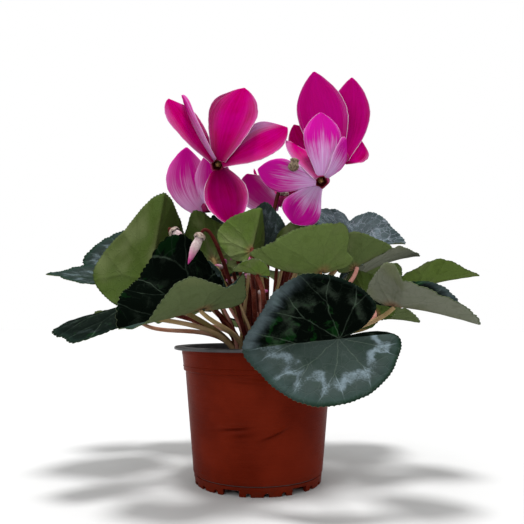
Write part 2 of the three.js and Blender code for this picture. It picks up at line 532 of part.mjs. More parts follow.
// A petal: it leaves the mouth's edge, bows outwards and sweeps back to its tip.
function makePetal(mouth, opens, petal) {
  const tip = vec(petal.tip);
  const radial = tip.clone().addScaledVector(opens, -tip.dot(opens)).normalize();
  const start = mouth.clone().addScaledVector(radial, MOUTH_RADIUS + 0.4).addScaledVector(opens, -0.6);
  const end = mouth.clone().add(tip);
  const length = end.distanceTo(start);
  const bow = radial.clone().addScaledVector(opens, 0.5).multiplyScalar(petal.bow * length);
  const control = start.clone().lerp(end, 0.45).add(bow);
  const curve = new THREE.QuadraticBezierCurve3(start, control, end);
  const points = [];
  for (let i = 0; i <= PETAL_ROWS; i += 1) {
    const t = i / PETAL_ROWS;
    const centre = curve.getPoint(t);
    const tangent = curve.getTangent(t);
    const face = vec(petal.faces).addScaledVector(tangent, -vec(petal.faces).dot(tangent)).normalize();
    const side = new THREE.Vector3().crossVectors(face, tangent);
    const half = Math.max(petalHalfWidth(t, petal.belly ?? PETAL_BELLY) * petal.width, 0.5);
    for (let k = 0; k <= PETAL_COLUMNS; k += 1) {
      const s = (2 * k) / PETAL_COLUMNS - 1;
      const lift = PETAL_CUP * half * s * s;
      points.push(centre.clone().addScaledVector(side, s * half).addScaledVector(face, lift));
    }
  }
  const triangles = [];
  const across = PETAL_COLUMNS + 1;
  for (let i = 0; i < PETAL_ROWS; i += 1) {
    for (let k = 0; k < PETAL_COLUMNS; k += 1) {
      const a = i * across + k;
      const b = a + across;
      if (k < PETAL_COLUMNS / 2) triangles.push([a, a + 1, b + 1], [a, b + 1, b]);
      else triangles.push([a, a + 1, b], [a + 1, b + 1, b]);
    }
  }
  const outline = [];
  for (let k = 0; k < across; k += 1) outline.push(k);
  for (let i = 1; i <= PETAL_ROWS; i += 1) outline.push(i * across + PETAL_COLUMNS);
  for (let k = PETAL_COLUMNS - 1; k >= 0; k -= 1) outline.push(PETAL_ROWS * across + k);
  for (let i = PETAL_ROWS - 1; i >= 1; i -= 1) outline.push(i * across);
  const { points: all, faces } = thicken(points, triangles, outline, PETAL);
  return toSolid(all, faces);
}

// Turns a lathed shape, made along +Z, so that it points along a direction from a place.
function lathedAlong(profile, sides, place, direction) {
  const shape = lathe(profile, sides);
  shape.applyQuaternion(new THREE.Quaternion().setFromUnitVectors(new THREE.Vector3(0, 0, 1), direction));
  return solidOf(shape.translate(place.x, place.y, place.z));
}

// The corolla's short round tube, open at the mouth.
function makeCorollaTube(mouth, opens) {
  const inner = MOUTH_RADIUS;
  const profile = [
    [0, -TUBE_LENGTH], [TUBE_RADIUS * 0.7, -TUBE_LENGTH * 0.85], [TUBE_RADIUS, -TUBE_LENGTH * 0.45],
    [inner + TUBE_WALL, 0], [inner, 0], [TUBE_RADIUS - TUBE_WALL, -TUBE_LENGTH * 0.45],
    [TUBE_RADIUS * 0.5, -TUBE_LENGTH * 0.72], [0, -TUBE_LENGTH * 0.78],
  ];
  return lathedAlong(profile, TUBE_SIDES, mouth, opens);
}

// The cone of anthers in the middle of the mouth.
function makeAnthers(mouth, opens) {
  const foot = -TUBE_LENGTH * 0.78 + 2 * GAP;
  const profile = [[0, foot], [2.2, foot + 0.6], [2.4, foot + 2.6], [1.1, -0.8], [0, 0.6]];
  return lathedAlong(profile, SMALL_SIDES, mouth, opens);
}

// The small cup of sepals that holds a corolla or a bud.
function makeCalyx(place, direction, radius) {
  const profile = [[0, -2.6], [1.8, -2.2], [radius, -0.5], [radius * 0.9, 0], [0, 0]];
  return lathedAlong(profile, SMALL_SIDES, place, direction);
}

// A bloom's or bud's stem: it rises from the tuber and hooks over at its end.
function hookedStem(end, direction, crook, via) {
  const root = stemRoot(end, 0.7);
  const distance = end.distanceTo(root);
  const first = via ? vec(via) : root.clone().add(new THREE.Vector3(0, 0, distance * PEDICEL_RISE));
  const second = end.clone().addScaledVector(direction, -crook);
  const curve = new THREE.CubicBezierCurve3(root, first, second, end);
  return makeStem(curve, PEDICEL_STEPS, PEDICEL_FOOT_RADIUS, PEDICEL_TOP_RADIUS, direction);
}

// A bloom's corolla and anthers, and the pieces of its stem.
function makeBloom(bloom) {
  const mouth = vec(bloom.mouth);
  const opens = vec(bloom.opens).normalize();
  const petals = bloom.petals.map((petal) => makePetal(mouth, opens, petal));
  const corolla = join([makeCorollaTube(mouth, opens), ...petals]);
  const calyxTop = mouth.clone().addScaledVector(opens, -TUBE_LENGTH - GAP);
  const neck = calyxTop.clone().addScaledVector(opens, -CALYX_NECK);
  const crook = bloom.crook ?? BLOOM_CROOK;
  const stem = [makeCalyx(calyxTop, opens, CALYX_RADIUS), hookedStem(neck, opens, crook, bloom.via)];
  return { corolla, anthers: makeAnthers(mouth, opens), stem };
}

// A closed bud, and the pieces of its stem.
function makeBud(bud) {
  const foot = vec(bud.foot);
  const tip = vec(bud.tip);
  const direction = tip.clone().sub(foot).normalize();
  const length = tip.distanceTo(foot);
  const profile = [
    [0, GAP], [bud.radius * 0.75, GAP], [bud.radius, length * 0.3], [bud.radius * 0.6, length * 0.7],
    [0, length],
  ];
  const neck = foot.clone().addScaledVector(direction, -CALYX_NECK);
  const stem = [makeCalyx(foot, direction, bud.radius), hookedStem(neck, direction, BUD_CROOK, bud.via)];
  return { solid: lathedAlong(profile, BUD_SIDES, foot, direction), stem };
}

// A bud that dried up and lies against a petal: a shrivelled, ribbed lump.
function makeDriedBud() {
  const profile = [[0, -1], [0.6, -0.9], [0.95, -0.3], [0.75, 0.35], [0.9, 0.7], [0.3, 0.95], [0, 0.9]];
  const scaled = profile.map(([r, z]) => [r * DRIED_BUD.radius, (z * DRIED_BUD.length) / 2]);
  return lathedAlong(scaled, BUD_SIDES, vec(DRIED_BUD.place), vec(DRIED_BUD.along).normalize());
}

const cyclamen = new THREE.Group();
const stems = [latheSolid(tuberProfile(0), TUBER_SIDES)];

cyclamen.add(meshOf(makePot(), 'pot', COLORS.pot, 0.5));
cyclamen.add(meshOf(makeSoil(), 'soil', COLORS.soil, 0.95));

for (const entry of LEAVES) {
  const leaf = { ...LEAF_DEFAULTS, ...entry };
  const { solid, frame, normal } = makeLeaf(leaf);
  stems.push(makePetiole(leaf, frame, normal));
  cyclamen.add(meshOf(solid, leaf.name, COLORS.leaf, 0.55));
}

for (const bloom of BLOOMS) {
  const { corolla, anthers, stem } = makeBloom(bloom);
  stems.push(...stem);
  cyclamen.add(meshOf(corolla, bloom.name, COLORS.petal, 0.6));
  cyclamen.add(meshOf(anthers, `${bloom.name}_anthers`, COLORS.anther, 0.7));
}

for (const bud of BUDS) {
  const { solid, stem } = makeBud(bud);
  stems.push(...stem);
  cyclamen.add(meshOf(solid, bud.name, COLORS.bud, 0.6));
}

cyclamen.add(meshOf(makeDriedBud(), 'dried_bud', COLORS.driedBud, 0.9));
cyclamen.add(meshOf(join(stems), 'tuber_and_stems', COLORS.stem, 0.6));

export default cyclamen;
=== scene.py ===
import math

import bmesh
import bpy
from mathutils import Matrix, Vector


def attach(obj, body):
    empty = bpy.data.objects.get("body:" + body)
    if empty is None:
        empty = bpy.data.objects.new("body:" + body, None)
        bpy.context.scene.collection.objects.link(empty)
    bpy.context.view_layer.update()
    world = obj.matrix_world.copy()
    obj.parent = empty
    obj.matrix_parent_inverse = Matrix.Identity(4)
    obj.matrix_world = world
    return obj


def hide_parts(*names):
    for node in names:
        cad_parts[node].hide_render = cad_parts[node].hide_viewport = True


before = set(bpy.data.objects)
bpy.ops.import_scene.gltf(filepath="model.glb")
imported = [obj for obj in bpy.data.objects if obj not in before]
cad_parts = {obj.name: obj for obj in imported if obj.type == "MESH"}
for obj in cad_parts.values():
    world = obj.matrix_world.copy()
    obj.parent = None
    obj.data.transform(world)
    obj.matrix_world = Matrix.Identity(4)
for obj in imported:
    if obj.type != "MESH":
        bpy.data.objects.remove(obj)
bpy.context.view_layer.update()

MM = 0.001
TURN = 2 * math.pi
GOLDEN_SHARE = 0.618

# The pot, in millimetres
POT_HEIGHT = 93.0
RIM_RADIUS = 60.0
RIM_THICKNESS = 2.2
COLLAR_RADIUS = 54.6
COLLAR_FOOT_RADIUS = 53.2
SHOULDER_Z = 77.0
SHOULDER_DROP = 2.0
WALL_RADIUS = 51.8
WALL_FOOT_RADIUS = 45.4
WALL_STEPS = 100
FOOT_HEIGHT = 7.0
FOOT_RADIUS = 44.4
FOOT_RING = 2.0
FLOOR_Z = 5.0
HUB_RADIUS = 12.0
WALL = 1.2
POT_SIDES = 192
SHARP_EDGE = 24
NOTCH_COUNT = 24
NOTCH_RADIUS = 1.8
NOTCH_DEPTH = 8.0
NOTCH_LIFT = 0.8
SLOT_COUNT = 6
SLOT_SIZE = (8.0, 11.5, 8.0)
DRAIN_COUNT = 6
DRAIN_RADIUS = 4.0
DRAIN_RING_RADIUS = 28.0

# Shallow creases in the wall, each darkened with painted shade as well as dented: turn about the axis
# in radians, height, slope, half length, half width and depth
POT_CREASES = [
    (4.42, 42.5, 0.10, 11.0, 1.5, 0.9), (4.94, 39.0, 0.38, 8.5, 1.5, 0.9),
    (4.60, 71.5, -0.05, 15.0, 1.5, 0.4), (4.50, 38.5, 0.10, 9.0, 2.2, 0.5),
    (0.9, 50.0, 0.3, 12.0, 4.0, 0.5), (2.6, 30.0, -0.4, 10.0, 3.0, 0.5),
]

# What fills the pot
SOIL_Z = 80.0
TUBER_RADIUS = 25.0
TUBER_HALF_HEIGHT = 8.0
TUBER_Z = 81.0
TUBER_STEPS = 24

# The plant's pieces: thicknesses and radii in millimetres, reaches and forks as shares of the
# midrib, and angles round a blade's margin in degrees
BLADE_THICKNESS = 0.7
PETAL_THICKNESS = 0.5
BLADE_REACH = 0.79
VEIN_COUNT = 9
VEIN_FORK = 0.42
POINT_WIDTH = 16.0
HEART_NOTCH_WIDTH = 28.0
HEART_NOTCH_DEPTH = 0.94
LOBE_FROM = 70.0
LOBE_OVER = 80.0
PETAL_ROWS = 26
PETAL_COLUMNS = 17
MOUTH_RADIUS = 4.6
THROAT_RADIUS = 3.3
TUBE_RADIUS = 6.4
TUBE_LENGTH = 9.0
TUBE_WALL = 1.2
CALYX_RADIUS = 4.0
CALYX_DEPTH = 1.6
CALYX_GAP = 0.3
BUD_CALYX_SHARE = 1.12

# Stalk radii at the foot and at the top
PETIOLE = (2.0, 1.35)
BLOOM_STEM = (1.9, 1.25)
BUD_STEM = (1.5, 0.95)

# Young stalks in the crown: foot, tip, the radius at the foot and the tint, from tan to pink to
# olive to dark red
YOUNG_STALKS = [
    ((-12, -14, 83), (-6, -30, 143), 1.5, 0.1), ((-5, -12, 84), (-18, -22, 138), 1.4, 0.4),
    ((-9, -8, 84), (-24, -12, 152), 1.7, 0.9), ((-14, -10, 83), (-30, -24, 134), 1.4, 0.35),
    ((2, -14, 84), (-5, -24, 141), 1.4, 0.45), ((3, -6, 85), (-1, -12, 146), 1.7, 0.95),
    ((8, -13, 84), (2, -18, 147), 1.5, 0.05), ((5, -10, 84), (17, -16, 148), 1.4, 0.2),
    ((6, -2, 85), (7, -5, 156), 1.9, 0.9), ((-6, -2, 85), (-10, -5, 165), 1.9, 1.0),
    ((-3, 4, 85), (-16, 6, 160), 1.8, 0.95), ((2, 5, 85), (4, 8, 158), 1.8, 0.7),
    ((-8, 6, 84), (-27, 2, 150), 1.6, 0.85), ((9, 4, 84), (14, 6, 152), 1.7, 0.95),
    ((-16, -4, 82), (-34, -10, 138), 1.4, 0.6), ((-2, -16, 83), (-14, -34, 128), 1.2, 0.25),
    ((-10, -10, 83), (-35, -24, 126), 1.5, 0.9), ((-12, -6, 83), (-42, -14, 130), 1.5, 0.55),
    ((-6, -15, 83), (-23, -30, 128), 1.3, 0.4), ((-14, 1, 83), (-38, 5, 142), 1.7, 0.95),
    ((-4, 8, 84), (-20, 15, 152), 1.8, 0.9), ((4, -15, 84), (1, -28, 130), 1.3, 0.45),
    ((-9, 8, 84), (-34, 16, 146), 1.8, 0.98), ((8, 8, 84), (24, 14, 150), 1.8, 0.9),
]

# The camera, fitted to the pot's rim, shoulder and foot, in millimetres, degrees and pixels
CAMERA_PLACE = (2.85, -411.25, 109.95)
CAMERA_PITCH = 6.09
SENSOR_WIDTH = 36
FRAME_WIDTH = 524
FOCAL_PIXELS = 562.23

# The studio, in metres and degrees
FLOOR_REACH = 6.0
SUN_POWER = 3.5
SUN_ANGLE = 13
SUN_LEAN = (2, 1)
LAMP_PLACE = (-1.1, -1.2, 0.9)
LAMP_TARGET = (0, 0, 0.14)
LAMP_SIZE = 0.6
LAMP_POWER = 5

# What differs from leaf to leaf. A pair is for the left and the right half, and a single value is
# for both. tone holds how silvery the upper face is, how light the lower face is, and how grey it
# is. shade holds how deep the painted shade lies on the left and the right half of the upper face,
# and how frosted it is.
# A corner is the angle from the midrib, how far the margin bulges there and over how many degrees.
LEAF_DEFAULTS = {
    "curl": 0, "rear": 0, "rear_from": 0, "rear_to": -1, "width": 1, "lobe": 1, "point": 0.14,
    "notch": 0, "arch": 0.03, "wave": 0.03, "phase": 0, "lean": 0.5, "via": None, "rime": 0,
    "tone": (0.4, 0.5, 0.1), "shade": (0, 0, 0), "corners": (), "stalk": None,
}
ANGLES = ("fold", "rear", "curl")
SHARES = ("width", "lobe")
LEAF_NUMBERS = ("rear_from", "rear_to", "point", "notch", "rime", "arch", "wave", "phase")
NO_CORNER = (0.0, 0.0, 10.0)


def leaf(base, tip, faces, fold, **given):
    """A leaf from its stalk to its tip, the way it faces, how far it folds, and what differs."""
    return {**LEAF_DEFAULTS, "base": base, "tip": tip, "faces": faces, "fold": fold, **given}


LEAVES = {
    "leaf_over_rim": leaf((48, -78, 100), (-9, -68, 93), (0.1, -0.97, 0.2), (14, 16), curl=(4, 6),
        width=(0.88, 0.9), lobe=(0.86, 0.7), notch=16, wave=0.02, phase=1, stalk=0.4,
        tone=(0.75, 0.5, 0.3), shade=(0.1, 1.1, 0), rime=0.9),
    "leaf_left_tall": leaf((-76, -20, 137), (-66, -12, 210), (-0.33, 0.94, 0), (52, 38), arch=0.02,
        width=(0.95, 0.72), lobe=(0.4, 0.66), point=0.06, phase=2, lean=1.2, corners=((-88, 0.2, 14),
        (-42, -0.13, 22), (-135, -0.28, 22)), tone=(0.4, 0.12, 0.0)),
    "leaf_left_fold": leaf((-35, -54, 118), (-81, -82, 104), (0, -0.1, 1), (30, 52), rear=(0, 33),
        rear_from=0.3, rear_to=0.05, arch=0, width=(1, 1.1), lobe=(0.75, 0.5), wave=0.1, phase=2.8,
        tone=(0.3, 0.55, 0.3), shade=(0, 1.35, 0)),
    "leaf_left_far": leaf((-112, 32, 138), (-160, 10, 144), (-0.1, -0.35, 0.93), 10, curl=-8, arch=0.04,
        width=0.8, lobe=0.3, phase=1, tone=(0.45, 0.4, 0.1), shade=(0.3, 0.3, 0)),
    "leaf_left_back": leaf((-110, 92, 166), (-157, 86, 163), (-0.2, -0.72, 0.66), (8, 12),
        width=(0.8, 0.95), lobe=0.6, phase=3, tone=(0.5, 0.4, 0.1), shade=(0.3, 0.3, 0)),
    "leaf_left_low": leaf((-88, -38, 120), (-133, -48, 104), (-0.25, -0.6, 0.75), (-12, -28), arch=0.02,
        width=(0.62, 0.6), lobe=0.4, phase=4, corners=((42, 0.2, 16), (85, -0.38, 26)),
        tone=(0.2, 0.6, 0.1), shade=(0.8, 0.8, 0)),
    "leaf_left_inner": leaf((-33, 4, 155), (-48, 8, 194), (-0.2, 0.9, 0.3), 25, arch=0.02,
        width=(0.8, 0.75), lobe=0.5, phase=5, lean=1.2, tone=(0.3, 0.12, 0.0)),
    "leaf_centre_back": leaf((-26, 32, 160), (-25, 30, 204), (0, -0.95, 0.3), 15, width=0.7, lobe=0.5,
        phase=2, tone=(0.3, 0.4, 0.1), shade=(0.3, 0.3, 0)),
    "leaf_centre_up": leaf((-4, -46, 156), (3, -38, 187), (-0.25, 0.95, -0.1), (60, 12), arch=0.02,
        lobe=0.4, phase=1, lean=1.2, tone=(0.5, 0.45, 0.0)),
    "leaf_centre_dark": leaf((2, -11, 160), (6, -13, 196), (0, -0.95, 0.3), 10, width=0.7, lobe=0.3,
        tone=(0.5, 0.3, 0.1), shade=(0.3, 0.3, 0.1)),
    "leaf_centre_olive": leaf((29, -28, 156), (31, -25, 185), (0, 0.95, 0.2), 15, arch=0.02, width=0.85,
        lobe=0.4, phase=3, lean=1.2, tone=(0.5, 0.15, 0.0)),
    "leaf_centre_wide": leaf((42, -44, 142), (-5, -60, 151), (0, 0.45, 0.89), (51, 75), arch=-0.1,
        width=(0.82, 0.66), lobe=(0.8, 0.3), wave=0.02, phase=2, corners=((100, 0.14, 16),
        (140, -0.3, 24)), tone=(0.4, 0.9, 0.1)),
    "leaf_right_green": leaf((67, -24, 147), (93, -28, 160), (0, 0.45, 0.89), (50, 51), arch=0.02,
        lobe=(0.4, 0.6), phase=1, tone=(0.4, 0.5, 0.15)),
    "leaf_right_slim": leaf((73, 0, 143), (120, 4, 160), (-0.3, -0.05, 1), (25, 20), arch=0.05,
        width=(0.5, 0.7), lobe=0.4, phase=5, tone=(0.5, 1.0, 1.3)),
    "leaf_right_silver": leaf((70, 20, 173), (34, 12, 193), (0.2, -0.6, 0.8), 10, arch=0.04, width=0.8,
        lobe=0.5, phase=1, tone=(1.0, 0.4, 0.2), shade=(0, 0, 0.8)),
    "leaf_right_large": leaf((72, 52, 168), (117, 30, 171), (0.2, -0.55, 0.83), (30, 12), curl=(0, -10),
        arch=0.05, width=(1, 0.65), lobe=(0.8, 0.4), phase=3, tone=(0.85, 0.4, 0.1),
        shade=(0.1, 0.1, 0.6)),
    "leaf_right_top": leaf((40, 64, 178), (52, 70, 207), (0.2, 0.9, 0.3), 15, arch=0.04, width=0.6,
        lobe=0.6, phase=2, lean=1.2, tone=(0.5, 0.25, 0)),
    "leaf_right_far": leaf((122, 10, 136), (161, -4, 143), (-0.1, 0.2, 1), 25, width=0.8, lobe=0.6,
        tone=(0.5, 0.9, 0.0)),
    "leaf_right_fold": leaf((85, -55, 120), (134, -72, 108), (-0.1, -0.1, 1), (42, 30), rear=(0, 55),
        rear_from=0.12, rear_to=-0.25, width=(0.6, 0.9), lobe=(0.45, 0.5), phase=3.14, via=(36, -30, 106),
        tone=(0.25, 0.9, 1.0), shade=(1.0, 1.0, 0.0), rime=0.4),
    "leaf_right_low": leaf((84, -4, 112), (116, -6, 110), (0, 0.1, 1), (15, 25), width=(0.45, 0.75),
        lobe=0.4, phase=4, tone=(0.5, 0.8, 0.3)),
    "leaf_right_inner": leaf((80, -26, 116), (65, -22, 146), (0.1, 0.9, 0.2), 15, width=0.8, lobe=0.3,
        phase=1, lean=1.2, tone=(0.3, 0.1, 0.0)),
    "leaf_young": leaf((1, -76, 138), (-15, -78, 140), (0.05, 0.3, 1), 20, arch=0.05, lobe=0.6, wave=0.02,
        tone=(0.2, 0.9, 0)),
    "leaf_young_dark": leaf((-28, -26, 134), (-33, -30, 152), (-0.5, -0.8, 0.2), 30, lobe=0.6, phase=2,
        tone=(0.3, 0.3, 0)),
    "leaf_back_right": leaf((84, 74, 146), (120, 104, 136), (0.25, 0.35, 0.9), 12, arch=0.05, lobe=0.8,
        phase=2),
    "leaf_back_right_low": leaf((60, 68, 118), (94, 106, 108), (0.25, 0.4, 0.9), 12, arch=0.05, width=0.8,
        lobe=0.5),
    "leaf_back_middle": leaf((26, 90, 152), (36, 136, 142), (0.05, 0.5, 0.87), 14, arch=0.05, lobe=0.8,
        phase=4, tone=(0.7, 0.5, 0.2)),
    "leaf_back_low": leaf((-4, 80, 108), (-2, 126, 96), (0, 0.45, 0.9), 14, arch=0.05, width=0.75,
        lobe=0.5, phase=1),
    "leaf_back_left": leaf((-32, 84, 148), (-52, 130, 138), (-0.15, 0.5, 0.87), 12, arch=0.05, lobe=0.8,
        phase=5, tone=(0.6, 0.5, 0.2)),
    "leaf_back_left_low": leaf((-62, 80, 118), (-94, 116, 108), (-0.25, 0.4, 0.9), 12, arch=0.05,
        width=0.8, lobe=0.5, phase=3),
    "leaf_back_inner": leaf((-4, 60, 178), (0, 100, 188), (0, -0.2, 1), 12, arch=0.05, lobe=0.8, phase=2,
        tone=(0.6, 0.5, 0.2)),
    "leaf_side_left": leaf((-92, 30, 112), (-132, 46, 100), (-0.3, 0.1, 0.95), 12, arch=0.05, lobe=0.7,
        phase=2),
}

# What differs from petal to petal: the shares of each half that roll over, how pale each half of
# the deep face is, how deep the painted shade on the petal lies, where a negative value paints light
# on it instead, and where it is widest, as in the source.
PETAL_DEFAULTS = {"rolls": (0.08, 0.08), "flanks": (0, 0), "dusk": 0, "belly": 1.35}


def petal(tip, faces, width, bow, **given):
    """A petal: its tip from the mouth, the way its deep face looks, its width and its bow."""
    return tip, faces, width, bow, {**PETAL_DEFAULTS, **given}


# Blooms: the middle of the mouth, the way it opens, how pale its petals' two faces are, and the
# petals. Its stem runs straight for the length of its crook below the calyx.
BLOOMS = {
    "bloom_left": dict(mouth=(-29, -20, 221), opens=(-0.1, -0.9, -0.45), pale=(0.0, 0.6), petals=[
        petal((-36, 2, 50), (0.55, -0.85, 0.1), 23, 0.15, rolls=(0.05, 0.05), flanks=(0.1, 0.3)),
        petal((19, 4, 59), (-0.1, -1, 0.1), 33, 0.12, rolls=(0.12, 0.2), flanks=(0.15, 0.1)),
        petal((50, -2, 27), (-0.2, -0.9, 0.2), 28, 0.12, rolls=(0.05, 0.1), flanks=(0.1, 1.1)),
        petal((12, -14, -46), (0, -0.95, 0.3), 28, 0.12, dusk=0.55, belly=1.0, flanks=(0.0, 0.1)),
        petal((-24, 28, 56), (0.5, 0.2, 0.4), 24, 0.4, rolls=(0.2, 0.2))]),
    "bloom_right": dict(
        mouth=(43, -40, 204), opens=(0.1, -0.85, -0.5), via=(20, -14, 140), pale=(0.1, 1.0), petals=[
            petal((1, 10, 52), (0, 1, 0), 25, 0.15),
            petal((-43, -2, 8), (0, 1, 0.1), 21, 0.15),
            petal((-20, -8, -30), (0, 1, 0.1), 25, 0.15, dusk=0.35),
            petal((20, 18, 34), (-0.9, 0.4, 0.2), 18, 0.25),
            petal((-16, 34, 37), (0.3, -1, 0), 22, 0.25, flanks=(0.5, 0.5))]),
    "bloom_back": dict(
        mouth=(62, 2, 230), opens=(0.1, 0.5, -0.85), via=(16, 6, 180), pale=(0.0, 0.3), petals=[
            petal((-20, -6, 68), (0, -1, 0.05), 36, 0.15, dusk=-0.45),
            petal((10, 2, 67), (-0.2, -1, 0.05), 30, 0.15, dusk=-0.3),
            petal((18, 18, 24), (0.5, -0.6, 0.3), 22, 0.3),
            petal((-34, 14, 34), (-0.5, -0.7, 0.2), 24, 0.3),
            petal((2, 30, 50), (0, -1, 0.4), 30, 0.3)]),
    "bloom_left_low": dict(
        mouth=(-40, 22, 196), opens=(0.1, 0.1, -1), via=(6, 10, 214), crook=16, pale=(0.2, 0.8),
        petals=[
            petal((-15, -14, 47), (0, 1, 0.1), 32, 0.25, dusk=-0.75, flanks=(0.3, 0.6)),
            petal((3, -17, 44), (0, 1, 0.1), 27, 0.25, dusk=-0.75, flanks=(0.6, 0.3)),
            petal((14, 18, 40), (-0.7, -0.7, 0.1), 24, 0.3),
            petal((-2, 26, 42), (0, -1, 0.1), 24, 0.3),
            petal((-20, 10, 42), (0.9, -0.3, 0.1), 24, 0.3)]),
    "bloom_middle": dict(mouth=(20, 32, 203), opens=(0, 0.3, -0.95), pale=(0.1, 0.3), petals=[
        petal((-29, -14, 22), (0, -1, 0.2), 29, 0.25, dusk=-0.9, flanks=(1.2, 1.2)),
        petal((16, -16, 24), (0, -1, 0.2), 22, 0.3),
        petal((26, 10, 34), (-1, 0, 0.1), 22, 0.3),
        petal((4, 26, 38), (0, -1, 0.1), 24, 0.3),
        petal((-24, 14, 34), (0.9, -0.3, 0.1), 22, 0.3)]),
}
BLOOM_CROOK = 22
BUD_CROOK = 12

# Buds: where the calyx ends, the tip, and the greatest radius.
BUDS = {
    "bud_hooked": dict(foot=(-36, -64, 163), tip=(-43, -66, 145), radius=3.2, via=(-22, -56, 158)),
    "bud_upper": dict(foot=(-57, -34, 171), tip=(-48, -37, 163), radius=3.4, via=(-50, -26, 150)),
    "bud_dark": dict(foot=(-14, -8, 160), tip=(-20, -12, 154), radius=2.6),
    "bud_low": dict(foot=(-4, -57, 143), tip=(-5, -58, 151), radius=2.4),
}
DRIED_BUD_RADIUS = 3.95
DRIED_BUD_HALF = 4.5
DRIED_BUD_PLACE = (24, -46.6, 214)
DRIED_BUD_LEAN = (0.2, 0.1, 1)


class Value:
    """A socket of a node tree that takes part in Python arithmetic."""

    def __init__(self, tree, socket):
        self.tree = tree
        self.socket = socket

    def other(self, name):
        """Another output of the same node."""
        return Value(self.tree, live(self.socket.node.outputs, name))

    def pair(self, operation, a, b):
        """A Math node of two values, or a Vector Math node where either is a vector."""
        arrows = [is_arrow(v) for v in (a, b)]
        if operation == "MULTIPLY" and any(arrows) and not all(arrows):
            arrow, number = (a, b) if arrows[0] else (b, a)
            return self.tree.vector("SCALE", {0: arrow, "Scale": number})
        if any(arrows):
            return self.tree.vector(operation, {0: a, 1: b})
        return self.tree.node("ShaderNodeMath", {0: a, 1: b}, operation=operation)

    def __neg__(self):
        return self * -1.0

    def __abs__(self):
        return self.of("ABSOLUTE")

    def of(self, operation, *others):
        """A Math node of this value and others, such as SINE or MINIMUM."""
        return self.tree.node("ShaderNodeMath", dict(enumerate((self, *others))), operation=operation)

    def clamp(self):
        return self.tree.node("ShaderNodeMath", {0: self, 1: 0.0}, operation="ADD", use_clamp=True)

    def step(self, low, high, start=0.0, end=1.0):
        """A smooth step from start to end as this value goes from low to high."""
        inputs = {"Value": self, "From Min": low, "From Max": high, "To Min": start, "To Max": end}
        return self.tree.node("ShaderNodeMapRange", inputs, interpolation_type="SMOOTHSTEP")

    def tint(self, a, b, low=0.3, high=0.7):
        """Colour a where this value is low, and b where it is high."""
        return self.tree.mix(self.step(low, high), a, b)

    def bell(self, width):
        """How near this value is to nought: a bell curve of that half width."""
        return (-((self / width) ** 2.0)).of("EXPONENT")

    def part(self, axis):
        """One component of a vector."""
        return self.tree.node("ShaderNodeSeparateXYZ", {0: self}).other("XYZ"[axis])

    def turn(self):
        """The angle of a vector about +Z."""
        return self.part(1).of("ARCTAN2", self.part(0))


def operator(operation, reflected):
    """An arithmetic method of Value, or its reflected form."""
    def method(self, b):
        return self.pair(operation, b, self) if reflected else self.pair(operation, self, b)
    return method


for word, operation in (
        ("add", "ADD"), ("sub", "SUBTRACT"), ("mul", "MULTIPLY"), ("truediv", "DIVIDE"), ("pow", "POWER")):
    setattr(Value, "__%s__" % word, operator(operation, False))
    setattr(Value, "__r%s__" % word, operator(operation, True))


def is_arrow(value):
    if isinstance(value, Value):
        return value.socket.type == "VECTOR"
    return isinstance(value, (tuple, Vector))


def live(sockets, key):
    """A socket by number, or the enabled one of that name."""
    return sockets[key] if isinstance(key, int) else next(s for s in sockets if s.name == key and s.enabled)


def rgba(color):
    return color if isinstance(color, Value) else (*color, 1.0)


class Tree:
    """A node tree, with one method that makes any node."""

    def __init__(self, tree):
        self.tree = tree

    def node(self, kind, inputs=None, out=None, **settings):
        """A node of a kind: its settings come first, then the values or links of its sockets."""
        node = self.tree.nodes.new(kind if "Node" in kind else self.FAMILY + kind)
        for name, setting in settings.items():
            setattr(node, name, setting)
        for key, given in (inputs or {}).items():
            for value in given if isinstance(given, list) else [given]:
                socket = live(node.inputs, key)
                if isinstance(value, Value):
                    self.tree.links.new(value.socket, socket)
                else:
                    socket.default_value = value
        first = next(s for s in node.outputs if s.enabled)
        return Value(self, live(node.outputs, out) if out else first)

    def vector(self, operation, inputs, out=None):
        return self.node("ShaderNodeVectorMath", inputs, out, operation=operation)

    def mix(self, factor, a, b):
        """Colours a and b, mixed by a factor."""
        inputs = {"Factor": factor, "A": rgba(a), "B": rgba(b)}
        return self.node("ShaderNodeMix", inputs, data_type="RGBA")

    def blend(self, factor, a, b):
        """Numbers a and b, mixed by a factor."""
        return self.node("ShaderNodeMix", {"Factor": factor, "A": a, "B": b}, data_type="FLOAT")

    def arrow(self, x, y, z=0.0):
        return self.node("ShaderNodeCombineXYZ", {"X": x, "Y": y, "Z": z})

    def noise(self, vector, scale, detail=2.0, roughness=0.5, distortion=0.0):
        return self.node("ShaderNodeTexNoise", {
            "Vector": vector, "Scale": scale, "Detail": detail, "Roughness": roughness,
            "Distortion": distortion})


